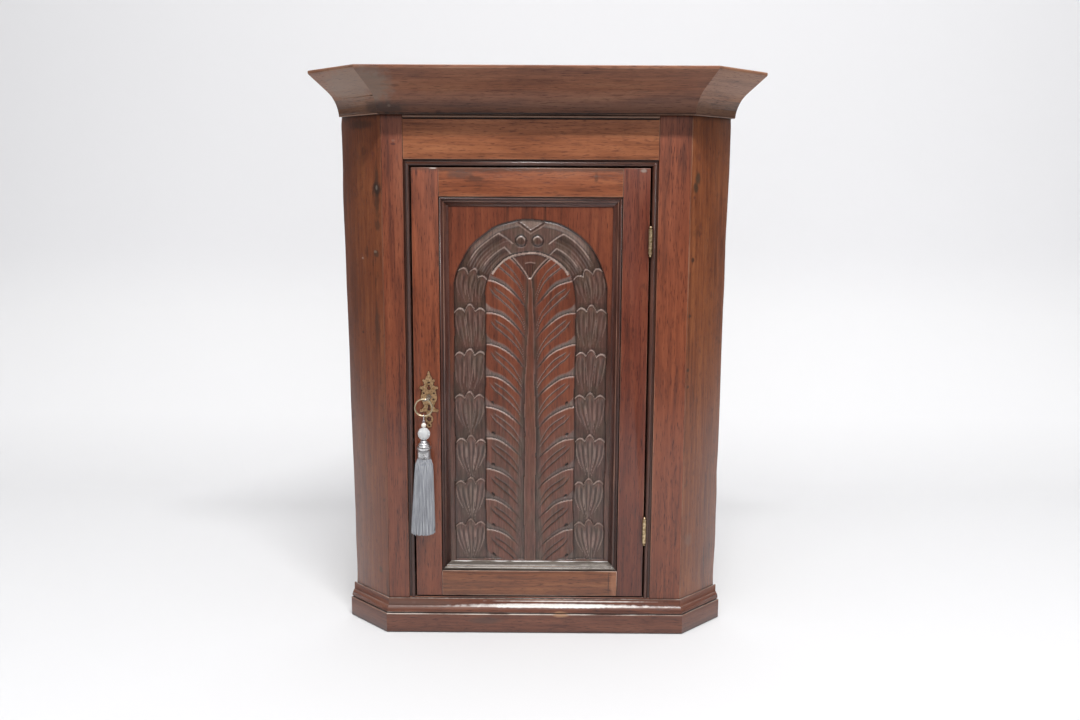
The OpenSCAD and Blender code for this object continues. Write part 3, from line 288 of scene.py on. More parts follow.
def stands_for(piece, node):
    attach(piece, rides_on[node])
    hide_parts(node)


def ease_arrises(piece, width, level_only):
    """Rounds the long sharp outer edges that touch a face looking toward the viewer, or only the level ones."""
    shortest, toward = 6 * MM, Vector((0, -1, 0))
    pick_no_edges(piece)
    mesh = piece.data
    faces_at = {}
    for face in mesh.polygons:
        for key in face.edge_keys:
            faces_at.setdefault(key, []).append(face)
    eased = 0
    for edge in mesh.edges:
        a, b = (mesh.vertices[v].co for v in edge.vertices)
        pair = faces_at.get(edge.key, [])
        if len(pair) != 2 or (a - b).length < shortest or (level_only and abs(a.z - b.z) > 0.1 * MM):
            continue
        outward = (a + b) / 2
        bend = pair[0].normal.angle(pair[1].normal, 0)
        convex = (pair[1].center - outward).dot(pair[0].normal) < 1e-6
        edge.select = bend > math.radians(35) and convex and max(f.normal.dot(toward) for f in pair) > 0.5
        eased += edge.select
    if eased:
        edit_mode()
        bpy.ops.mesh.bevel(offset=width, segments=2, affect="EDGES", clamp_overlap=True)
        object_mode()
        # the narrow new faces are the rubbed arris
        long_side = {face.index: max((mesh.vertices[a].co - mesh.vertices[b].co).length for a, b in face.edge_keys)
                     for face in mesh.polygons}
        on_arris = [float(face.select and face.area < 1.1 * width * long_side[face.index]) for face in mesh.polygons]
        mesh.attributes.new("arris", "FLOAT", "FACE").data.foreach_set("value", on_arris)
    return eased


# how far the outer edge of a canted side stands out of true, in millimetres at heights in millimetres
EDGE_HEIGHTS = [42, 62, 99, 143, 186, 229, 271, 313, 397, 479, 560, 600, 640, 679, 718, 757, 795, 834, 878, 900]
EDGE_LEFT = [0, -4, -4, -2.8, -3.3, -2.2, -1.8, -0.5, 1.2, 1.5, 3.2, 4.2, 4.4, 5.2, 6.3, 7.0, 5.8, 6.0, 7.2, 0]
EDGE_RIGHT = [0, -3.6, -3.2, -1.2, -1.9, -1.3, -2.8, -1.4, -0.9, -1.1, -0.8, 0.3, 0, -0.2, 1.0, 1.9, 3, 3, 3, 0]


def lean_outwards(piece):
    """Lets the outer edge of a canted side wander as the old board does: out at the top, worn back at the foot."""
    long_edge, outer_edge = 600 * MM, 300 * MM
    pick_no_edges(piece)
    mesh = piece.data
    for edge in mesh.edges:
        a, b = (mesh.vertices[v].co for v in edge.vertices)
        edge.select = abs(a.z - b.z) > long_edge
    edit_mode()
    bpy.ops.mesh.subdivide(number_cuts=48)
    object_mode()
    for v in mesh.vertices:
        if abs(v.co.x) > outer_edge:
            side, edge_line = (1, EDGE_RIGHT) if v.co.x > 0 else (-1, EDGE_LEFT)
            shift = float(np.interp(v.co.z / MM, EDGE_HEIGHTS, edge_line)) * MM
            v.co.x += side * shift
            v.co.y += shift


def stretch_return(piece, foot, top):
    """Moves the wall end of a cornice return outwards by so many millimetres at its foot and top."""
    for v in piece.data.vertices:
        side = 1 if v.co.x > 0 else -1
        along = (side * v.co.x - CANT_START + v.co.y - FRONT) / math.sqrt(2)
        share = min(max(along / CANT_LENGTH, 0), 1)
        shift = share * float(np.interp(v.co.z / MM, [880, 950], [foot, top])) * MM / math.sqrt(2)
        v.co.x += side * shift
        v.co.y += shift


def smooth(piece, degrees=35):
    pick(piece)
    bpy.ops.object.shade_smooth_by_angle(angle=math.radians(degrees))


# %% [markdown]
# ## Oak finish
# The wood is old oak, planed by hand, stained red-brown and waxed many times. The eye sees long soft streaks from
# the growth rings, short dark pores along the grain, patches where hands and cloths have rubbed, and dirt in the
# corners, where shade is painted in as well. Arrises and ledges that look up carry painted highlights besides their
# wear and dust. A quiet gloss lies over it all. Grain runs along each board, so the same material is made once per
# board with its own direction, tone and starting place, and no two neighbours match.

# %% Oak
def grain_turn(grain):
    """The turn that brings a board's length onto the Z axis of the pattern."""
    return (0, 0, 0) if grain == "upright" else (0, math.radians(90), 0)


def oak(name, grain="upright", dark="#45221a", middle="#7b3f29", light="#955438", seed=0, marks=(), gloss=0.34,
        stain=0.45, waxed=0.5, dust=0.25, dust_and_highlight_from=0.6, rub_and_highlight_colour="#a87f68", rub_and_highlight_most=0.75,
        tones=((200, 0.8), (560, 1.0)), streaks=1.15, joint=0.8, over=()):
    """Waxed oak for one board. A mark is a knot, nail or stain, or a painted shadow or highlight: x, z, half width and
    half height in millimetres, its colour and its strength, and those named over lie on the dust and painted highlight.
    Tones are heights in millimetres with the share of the colour kept there; on the cornice they paint shade in its
    hollow."""
    finish, tree, shader = new_finish("waxed_oak_" + name)
    coord = add_node(tree, "TexCoord").outputs["Object"]
    turned = coord
    if grain in ("across_left", "across_right"):
        spin = math.radians(45 if grain == "across_right" else -45)
        turned = add_node(tree, "Mapping", Vector=coord, Rotation=(0, 0, -spin))
    rng = random.Random(seed)
    start = tuple(rng.uniform(-3, 3) for _ in range(3))
    along = add_node(tree, "Mapping", Vector=turned, Rotation=grain_turn(grain), Location=start)
    # growth rings: soft streaks about 7 mm wide that wander along the board
    ring_place = add_node(tree, "Mapping", Vector=along, Scale=(1, 1, 0.045))
    rings = add_node(tree, "TexNoise", Vector=ring_place, Scale=150, Detail=5, Roughness=0.6, Distortion=0.6)
    # pores: dark dashes about 1 mm wide and 15 mm long, drawn a little coarse so that they show
    pore_place = add_node(tree, "Mapping", Vector=along, Scale=(1, 1, 0.07))
    pores = add_node(tree, "TexNoise", Vector=pore_place, Scale=850, Detail=2, Roughness=0.55)
    pore_mask = add_node(tree, "MapRange", Value=pores, From_Min=0.57, From_Max=0.68)
    # shade of whole patches, about 120 mm long and 40 mm wide
    patch_place = add_node(tree, "Mapping", Vector=along, Scale=(1, 1, 0.3))
    patches = add_node(tree, "TexNoise", Vector=patch_place, Scale=24, Detail=4, Roughness=0.6)
    stains = add_node(tree, "TexNoise", Vector=add_node(tree, "Mapping", Vector=along, Location=(5, 2, 1),
                      Scale=(1, 1, 0.5)), Scale=55, Detail=6, Roughness=0.7, Distortion=0.8)
    stain_mask = add_node(tree, "MapRange", Value=stains, From_Min=0.58, From_Max=0.74)
    blend = add_node(tree, "Math", operation="MULTIPLY_ADD", in0=patches, in1=0.7, in2=-0.35)
    tone = add_node(tree, "Math", operation="MULTIPLY_ADD", in0=rings, in1=streaks, in2=0.5 - streaks / 2)
    tone = add_node(tree, "Math", operation="ADD", use_clamp=True, in0=tone, in1=blend)
    ramp = set_ramp(add_node(tree, "ValToRGB", Fac=tone), [(0.12, dark), (0.5, middle), (0.9, light)])
    wood = add_node(tree, "Mix", data_type="RGBA", blend_type="MULTIPLY", in0=pore_mask, in6=ramp, in7="#a2857c")
    stain_part = add_node(tree, "Math", operation="MULTIPLY", in0=stain_mask, in1=stain)
    wood = add_node(tree, "Mix", data_type="RGBA", in0=stain_part, in6=wood, in7="#2f1e19")
    # darker or lighter at different heights, as the tones give: on the cornice this is painted shade in its hollow
    place = add_node(tree, "SeparateXYZ", Vector=coord)
    share = add_node(tree, "MapRange", Value=place.outputs["Z"], From_Min=0, From_Max=1)
    toned = set_ramp(add_node(tree, "ValToRGB", Fac=share), [(z * MM, (t, t * 0.98, t * 0.87, 1)) for z, t in tones])
    wood = add_node(tree, "Mix", data_type="RGBA", blend_type="MULTIPLY", in0=1.0, in6=wood, in7=toned)
    # knots, nail heads, stains, rubbed spots, painted shadows and painted highlights, each with an uneven edge
    wobble = add_node(tree, "TexNoise", Vector=coord, Scale=110, Detail=4)

    def mark(wood, x, z, half_w, half_h, colour, strength):
        here = add_node(tree, "Mapping", vector_type="TEXTURE", Vector=coord,
                        Location=(x * MM, 0, z * MM), Scale=(half_w * MM, 1, half_h * MM))
        flat = add_node(tree, "VectorMath", operation="MULTIPLY", in0=here, in1=(1, 0, 1))
        size = add_node(tree, "VectorMath", operation="LENGTH", in0=flat)
        reach = add_node(tree, "Math", operation="MULTIPLY_ADD", in0=wobble, in1=0.9, in2=size.outputs["Value"])
        spot = add_node(tree, "MapRange", Value=reach, From_Min=1.65, From_Max=1.05, To_Max=strength)
        return add_node(tree, "Mix", data_type="RGBA", in0=spot, in6=wood, in7=colour)

    for spot in marks:
        wood = mark(wood, *spot)
    # rubbed arrises: the stain has gone, and their pale colour also paints the highlight on them, in patches a few
    # centimetres long, but only where the arris stands free: in the groove between two boards it holds dirt instead
    corner = add_node(tree, "AmbientOcclusion", samples=4, Distance=0.009)
    free = add_node(tree, "MapRange", Value=corner.outputs["AO"], From_Min=joint, From_Max=joint + 0.17)
    arris = add_node(tree, "Attribute", attribute_name="arris").outputs["Fac"]
    arris = add_node(tree, "Math", operation="MULTIPLY", in0=arris, in1=free)
    wear_and_highlight = add_node(tree, "MapRange", Value=patches, From_Min=0.42, From_Max=0.6, To_Min=0.1, To_Max=rub_and_highlight_most)
    wear_and_highlight = add_node(tree, "Math", operation="MULTIPLY", in0=arris, in1=wear_and_highlight)
    wood = add_node(tree, "Mix", data_type="RGBA", in0=wear_and_highlight, in6=wood, in7=rub_and_highlight_colour)
    # pale dust and old wax on every ledge that looks up, which also paints a highlight there
    upward = add_node(tree, "SeparateXYZ", Vector=add_node(tree, "NewGeometry").outputs["Normal"])
    dust_and_highlight = add_node(tree, "MapRange", Value=upward.outputs["Z"], From_Min=dust_and_highlight_from, From_Max=min(dust_and_highlight_from + 0.3, 1))
    lying = add_node(tree, "MapRange", Value=stains, From_Min=0.4, From_Max=0.55, To_Min=dust * 0.25, To_Max=dust)
    dust_and_highlight = add_node(tree, "Math", operation="MULTIPLY", in0=dust_and_highlight, in1=lying)
    wood = add_node(tree, "Mix", data_type="RGBA", in0=dust_and_highlight, in6=wood, in7="#d2cac2")
    for spot in over:
        wood = mark(wood, *spot)
    # painted shade in every corner and where two boards meet, standing also for the dirt that cloths never reach there
    corner_darkening = add_node(tree, "MapRange", Value=corner.outputs["AO"], From_Min=0.4, From_Max=0.92, To_Min=0.14, To_Max=1.0)
    wood = add_node(tree, "Mix", data_type="RGBA", blend_type="MULTIPLY", in0=1.0, in6=wood, in7=corner_darkening)
    dull = add_node(tree, "MapRange", Value=patches, From_Min=0.3, From_Max=0.7, To_Min=gloss, To_Max=gloss + 0.07)
    # pores are hollow, and the plane left the rings slightly uneven
    height = add_node(tree, "Math", operation="MULTIPLY_ADD", in0=pore_mask, in1=-0.6, in2=rings)
    bump = add_node(tree, "Bump", Strength=0.5, Distance=0.0004, Height=height)
    set_inputs(shader, Base_Color=wood, Roughness=dull, Coat_Weight=waxed, Coat_Roughness=0.26, Normal=bump)
    return finish


# %% [markdown]
# Now every board gets its copy and its own oak. The marks that tell this cupboard from any other are written down
# here board by board: knots, old scars, nail heads, painted shade in the cornice's hollow and under the door's bead,
# painted shadow and highlight lines under the cornice, and painted highlights on the base. They could be painted by
# hand on a picture, but as numbers they stay sharp from any distance.

# %% Dress the boards of the carcass and the frame
# nail heads and knots, old scars, bruised wood, dark wax
NAIL, SCAR, PALE, WAX = "#38241c", "#5c3125", "#9c8375", "#5c3a2c"
CORNICE_HOLLOW_SHADE = ((880, 0.42), (893, 0.6), (909, 1.0), (950, 0.97))   # painted shade in the cornice's hollow, under its lip
BEAD = dict(dark="#2f1913", middle="#4e2b21", light="#643d30")
MOULDING = dict(dark="#2c1812", middle="#52302a", light="#694539")
BASE = dict(middle="#6b3c2c", light="#845340")
BOARDS = {  # node: grain, seed, extra finish values
    "canted_side_left": ("upright", 11, dict(rub_and_highlight_most=0.3, dark="#4a281c", middle="#733f29", light="#8f5738",
                                             stain=0.8, marks=[
        # the dark patch at the top, under the cornice, is the cornice's shadow painted in
        (-290, 866, 24, 8, "#241c14", 0.6), (-262, 756, 4.5, 48, "#37261d", 0.7), (-262, 761, 9, 12, "#2c221d", 0.85),
        (-262, 763, 2.0, 4.5, "#75685e", 0.75), (-262, 702, 6, 9, "#3a281f", 0.6), (-265, 655, 6, 6, "#3a2b22", 0.75),
        (-267, 658, 3, 2.4, "#837567", 0.6), (-283, 656, 2.4, 12, "#3b2219", 0.6), (-292.6, 646, 1.8, 1.8, PALE, 0.9),
        (-266, 536, 5, 34, "#3f2a20", 0.6), (-295, 519.6, 2.6, 2.6, "#38211a", 0.8),
        (-268, 818, 3.5, 4, SCAR, 0.8), (-269, 104, 3, 7, "#46311f", 0.85)])),
    "canted_side_right": ("upright", 12, dict(middle="#7c462c", light="#975e3c", marks=[
        (265, 780, 4.5, 11, "#453325", 0.9), (261.5, 764, 5, 9, "#3f2d20", 0.9), (259.8, 749, 2.4, 3.4, SCAR, 0.9),
        (266, 816, 4, 7, SCAR, 0.6), (272, 703, 2.4, 6, SCAR, 0.6), (274, 690, 3, 2.5, SCAR, 0.7),
        (260, 647, 3, 4, NAIL, 0.85), (257, 554.5, 2.6, 3.4, NAIL, 0.85), (256, 463, 2.6, 3.4, NAIL, 0.85),
        (257, 434, 2.4, 3, NAIL, 0.8), (311, 710, 1.5, 10, SCAR, 0.6), (297.5, 586, 1.5, 9, SCAR, 0.6),
        (306, 521, 1.5, 9, SCAR, 0.6), (266, 163, 7, 12, "#6a4c3d", 0.6)])),
    "frame_stile_left": ("upright", 13, dict(rub_and_highlight_most=0.3, middle="#743b27", light="#8d5036", marks=[
        (-232.4, 833, 5, 2.2, "#481f15", 0.9), (-232, 838.5, 3, 2, "#86604f", 0.5), (-226, 811, 2, 7, SCAR, 0.6),
        (-228, 435, 0.9, 95, "#2a1812", 0.8)])),
    "frame_stile_right": ("upright", 14, {}),
    "frame_top_rail": ("across", 15, dict(dark="#5a3020", middle="#91583d", light="#ac7050", marks=[
        # a painted shadow line and a painted highlight line, standing for a groove under the cornice
        (0, 874.4, 600, 1.7, "#120b08", 0.95), (0, 877.4, 600, 1.5, "#b08c78", 0.9)])),
    "frame_bottom_rail": ("across", 16, {}),
    "opening_bead_left": ("upright", 17, BEAD),
    "opening_bead_right": ("upright", 18, BEAD),
    "opening_bead_top": ("across", 19, BEAD),
    "cornice_front": ("across", 20, dict(middle="#8a5843", light="#a2735a", tones=CORNICE_HOLLOW_SHADE, waxed=0.12, gloss=0.5,
                                         streaks=0.8, marks=[
        # the pale grey patch at the left end is a painted reflection of the pale room
        (-268, 922, 42, 26, "#84766a", 0.65), (-240, 890, 32, 10, "#2c1f1a", 0.7), (-236, 893, 3, 2.4, "#7d6a5e", 0.4),
        # the dark line along the cornice's foot is a painted shadow of the groove there
        (-8, 881.2, 290, 1.5, "#170f0c", 0.9), (-222, 922, 7, 1.8, SCAR, 0.6)])),
    "cornice_left": ("across_left", 64, dict(middle="#94664f", light="#ae8067", stain=0.25, tones=CORNICE_HOLLOW_SHADE,
                                             waxed=0.2, gloss=0.45, streaks=0.6, marks=[
        # the pale grey patch is a painted reflection of the pale room
        (-300, 925, 50, 24, "#897a6c", 0.5), (-262, 890, 17, 10, "#2c1f1a", 0.6)])),
    "cornice_right": ("across_right", 22, dict(middle="#966a54", light="#b0846a", tones=CORNICE_HOLLOW_SHADE, waxed=0.2, gloss=0.45,
                                               streaks=0.8)),
    # the near-white rub and the heavy dust on the base paint the highlights on its arrises and ledges, besides wear and
    # dust
    "base_moulding_front": ("across", 23, dict(BASE, dust=0.95, dust_and_highlight_from=0.5, rub_and_highlight_colour="#d9cabd", rub_and_highlight_most=0.95,
                                               joint=0.6, marks=[
        (-209.6, 51.5, 3.5, 3, PALE, 0.7), (-173.2, 34.8, 4, 2.4, SCAR, 0.8), (-85, 22, 28, 6, "#46322a", 0.6)], over=[
        # over the dust: a painted shadow in the gap under the door, patches of dark wax, painted highlights along the
        # ovolo and the fillet, and a paler spot
        (-20, 60.6, 330, 1.5, "#0e0907", 0.95), (-245, 52, 110, 11, WAX, 0.9), (-150, 36, 60, 3, WAX, 0.7),
        (30, 47.3, 150, 3.2, "#f4efe9", 0.9), (70, 55.2, 130, 1.2, "#e8e0d8", 0.8), (-60, 34.6, 22, 1.6, WAX, 0.9),
        (130, 34.6, 30, 1.6, WAX, 0.9), (215, 59, 40, 2, WAX, 0.8), (-40, 57.6, 26, 1.6, WAX, 0.8),
        (45, 33.5, 14, 5, "#a87e5c", 0.8)])),
    "base_moulding_left": ("across_left", 24, dict(BASE, dust=0.4, rub_and_highlight_most=0.5)),
    "base_moulding_right": ("across_right", 25, dict(BASE, dust=0.4, rub_and_highlight_most=0.5)),
    "door_stile_left": ("upright", 26, dict(dark="#4a2419", middle="#7c3f28", light="#945237", marks=[
        # the dark band along the top is the shadow of the bead above the door, painted in
        (-175, 795, 60, 4, "#57372b", 0.6), (-168, 794.8, 6, 1.1, "#c9beb4", 0.7)])),
    "door_stile_right": ("upright", 27, dict(dark="#3a1c14", middle="#682f1f", light="#7e442e", marks=[
        (175, 792, 5, 3, "#8f8379", 0.7)])),
    "door_top_rail": ("across", 28, dict(dark="#54291b", middle="#874c33", light="#9f6243", marks=[
        # the dark band along the top is the shadow of the bead above the door, painted in
        (0, 795, 600, 6, "#50301f", 0.75), (-125, 785, 22, 7, "#4b3a33", 0.6), (-100, 778, 16, 5, "#3e2820", 0.6),
        (98, 781, 3.5, 8, "#4a2c20", 0.6)])),
    "door_bottom_rail": ("across", 29, dict(middle="#7d4a2f", light="#9a6543", rub_and_highlight_colour="#c9aa98", rub_and_highlight_most=0.9, joint=0.35,
                                            marks=[
        (137, 87, 6.5, 26, "#9a6648", 0.55), (128, 87, 0.9, 24, "#3a2018", 0.8)])),
    "panel_moulding_left": ("upright", 30, MOULDING),
    "panel_moulding_right": ("upright", 31, MOULDING),
    "panel_moulding_top": ("across", 32, MOULDING),
    # the bottom moulding's greyer, paler colours and pale upward faces are dust and a painted highlight from the lamps
    # above
    "panel_moulding_bottom": ("across", 33, dict(dark="#463e3a", middle="#655b56", light="#80766f", dust=0.8,
                                                 dust_and_highlight_from=0.6, over=[(x, 124.9, w, 1.1, "#efebe7", 0.95) for x, w in (
        (-122, 16), (-59, 14), (-31, 10), (2, 26), (56, 20), (112, 14))])),
    "bottom_board": ("across", 34, {}),
    "lower_shelf": ("across", 35, {}),
    "upper_shelf": ("across", 36, {}),
}
for node, (grain, seed, extra) in BOARDS.items():
    board = maker_copy(node)
    if "canted" in node:
        lean_outwards(board)
    if node in ("cornice_left", "cornice_right"):
        stretch_return(board, 4.5, -4 if node == "cornice_left" else 0)
    mitred = "cornice" in node or "base" in node          # a mitre is glued tight, so its edges stay sharp
    thin = "panel_moulding" in node or "bead" in node
    eased = ease_arrises(board, (0.5 if thin else 1.2) * MM, mitred)
    smooth(board)
    board.data.materials.append(oak(node, grain, seed=seed, **extra))
    print(node, "arrises eased:", eased)

# %% [markdown]
# ## Backing boards
# What stands against the wall was never meant to be seen: sawn oak, planed on one side only, unpolished, greyed by
# dust. Its grain is paler and dry, with the fine cross marks of the saw.

# %% Sawn backing boards
def sawn_oak(name, grain, seed):
    finish, tree, shader = new_finish("sawn_oak_" + name)
    coord = add_node(tree, "TexCoord").outputs["Object"]
    rng = random.Random(seed)
    along = add_node(tree, "Mapping", Vector=coord, Rotation=grain_turn(grain),
                     Location=tuple(rng.uniform(-3, 3) for _ in range(3)))
    rings = add_node(tree, "TexNoise", Vector=add_node(tree, "Mapping", Vector=along, Scale=(1, 1, 0.05)),
                     Scale=110, Detail=6, Roughness=0.65, Distortion=0.5)
    # the saw's marks run across the board about every 3 mm
    saw = add_node(tree, "TexNoise", Vector=add_node(tree, "Mapping", Vector=along, Scale=(0.04, 0.04, 1)),
                   Scale=330, Detail=3)
    patches = add_node(tree, "TexNoise", Vector=along, Scale=9, Detail=5, Roughness=0.65)
    tone = add_node(tree, "Math", operation="MULTIPLY_ADD", in0=saw, in1=0.3, in2=-0.15)
    tone = add_node(tree, "Math", operation="ADD", in0=tone, in1=rings)
    ramp = set_ramp(add_node(tree, "ValToRGB", Fac=tone), [(0.25, "#5b4636"), (0.5, "#85694f"), (0.75, "#a2876a")])
    dust = add_node(tree, "MapRange", Value=patches, From_Min=0.45, From_Max=0.75, To_Max=0.6)
    wood = add_node(tree, "Mix", data_type="RGBA", in0=dust, in6=ramp, in7="#77685a")
    bump = add_node(tree, "Bump", Strength=0.6, Distance=0.0006, Height=tone)
    set_inputs(shader, Base_Color=wood, Roughness=0.8, Specular_IOR_Level=0.3, Normal=bump)
    return finish


for i, node in enumerate([n for n in slot_of if slot_of[n] == "backing_oak"]):
    board = maker_copy(node)
    if "back_board" in node:
        lean_outwards(board)
    smooth(board)
    board.data.materials.append(sawn_oak(node, "across" if node == "top_board" else "upright", 50 + i))
print("backing boards dressed:", sum(s == "backing_oak" for s in slot_of.values()))

# %% [markdown]
# ## The carved panel
# The panel is one oak board. The carver sank a round-headed field by three millimetres and left standing in it a
# border of husks, each with three petals, and one tall palm leaf with a flat stem. Relief that fine could be
# sculpted by hand, but a carver works by repeating a few cuts, and code can do the same. So a fine grid is added,
# and for each of its points one function works out how deep the chisel went there.

# %% Sizes and cuts of the carver
# in millimetres: half widths of the field and of the leaf in it, heights of the arch's springing and the field's foot
FIELD, INNER, SPRING, FOOT = 128.0, 75.5, 585.0, 127.0
DEEP = 3.4                                           # how far the ground is sunk
LEAF_Z, LEAF_PITCH, LEAF_DROP = 181.0, 53.8, 56.0    # the lowest arris, the way to the next, its rise from the stem
MIDDLE = (FIELD + INNER) / 2                         # the middle line of the border
HUSK_Z, HUSK_PITCH = 199.5, 74.3                     # the lowest husk's tip and the way to the next
HUSK_TIPS = [HUSK_Z + HUSK_PITCH * i for i in range(6)] + [SPRING + MIDDLE * math.radians(27)]


def step(low, high, value):
    """0 below low, 1 above high, smooth between. It falls instead when low is the larger."""
    t = np.clip((value - low) / (high - low), 0, 1)
    return t * t * (3 - 2 * t)


def line(distance, half):
    """1 on the line where distance is 0, falling to 0 at half a width to either side."""
    return np.clip(1 - (distance / half) ** 2, 0, None)


print("husk tips at heights in mm:", [round(t) for t in HUSK_TIPS])

# %% [markdown]
# Every cut below gives three numbers for each point: how high the wood stands over the sunk ground, how bright it
# is painted, for highlights on lips and arrises as well as rubbed wood, and how dark it is painted, for shade in the
# cuts as well as black wax. A husk is a bud of three petals. Each has a wavy lip with a painted highlight, narrows
# to a point at its foot, and is fluted by gouge cuts, painted dark, that run together downwards.

# %% Husks
def husks(run, across, rng):
    """The border's husks. Run is the way up the border, across is measured from its middle line."""
    height = np.full_like(run, 0.3)
    bright, shade_and_grime = np.zeros_like(run), 0.22 + 0.25 * step(500, 400, run)
    for k, tip in enumerate(HUSK_TIPS):
        length = HUSK_PITCH if k < 6 else 60
        tip = tip + rng.uniform(-1.2, 1.2)
        lean = rng.uniform(-2.5, 2.5)
        for side in (-1, 1, 0):
            way = (tip - run) / length                       # 0 at the husk's tip, 1 at its foot
            lead = rng.uniform(3.6, 7.2) if side else 0.0    # how much lower a side petal ends
            places = [0.05, 0.3, 0.5, 0.7, 0.85, 1.05]
            middles, halves = (((16.8, 16.3, 14.8, 11.0, 7.2, 3.4), (8.2, 8.6, 7.8, 6.0, 4.0, 1.6)) if k < 4 else
                               ((16.8, 16.6, 15.8, 14.4, 12.0, 8.0), (8.2, 8.6, 8.2, 6.8, 5.4, 3.0)))
            centre = lean * way + side * np.interp(way, places, middles)
            half = np.interp(way, places, halves if side else (8.4, 8.2, 6.8, 4.8, 3.4, 1.4))
            x = (across - centre) / half
            below = (tip - run) - lead - (6.2 if side else 11.5) * x ** 2
            inside = (np.abs(x) < 1) & (below > 0) & (way < 1.35)
            top = 3.35 - 2.2 * np.clip(way, 0, 1.2) ** 1.1 - (0.5 if side else 0.0)
            flute = line(np.abs(x) - 0.48, 0.34) * step(3, 14, below)
            middle_cut = line(x - 0.1 * side, 0.13) * step(6, 20, below) * (0 if side == 0 else 1)
            shape = top - 1.3 * np.abs(x) ** 3 - 1.0 * flute - 0.7 * middle_cut - 0.5 * line(below - 3.4, 1.3)
            here = inside & (shape > height)
            # the lip and the ridges get painted highlights; the flutes, the middle cut and a line under the lip get
            # painted shade
            lip = line(below - 1.0, 1.35) * (0.6 if k < 2 else 0.9)
            clear = 1.7 if k < 3 else 1.0                    # the lowest husks are cut the clearest
            ridge = clear * (0.2 * line(np.abs(x) - 0.86, 0.2) + 0.12 * line(np.abs(x) - 0.1, 0.16))
            ridge = ridge * step(6, 18, below) * step(1.3, 0.8, way)
            height = np.where(here, shape, height)
            bright = np.where(here, np.maximum(lip, ridge), bright)
            shade = np.maximum(0.45 * clear * flute, 0.45 * middle_cut)
            shade_and_grime = np.where(here, np.maximum(shade, 0.55 * line(below - 3.6, 1.5)), shade_and_grime)
        # the ground just above a lip is painted a little darker, as shade and grime
        above_lip = run - tip
        shade_and_grime = np.where((above_lip > -12) & (above_lip < 3) & (height < 1), np.maximum(shade_and_grime, 0.5), shade_and_grime)
    return height, bright, shade_and_grime


# %% [markdown]
# A leaflet is a flat plate that ends in one long arris with a painted highlight. Above the arris the ground is sunk
# in the shape of a crescent, painted dark along its foot as shade, which opens at the border and runs round a hook with
# a drilled eye. Two gouged veins follow the arris at a growing distance, and all the plates sink into a channel beside
# the stem.

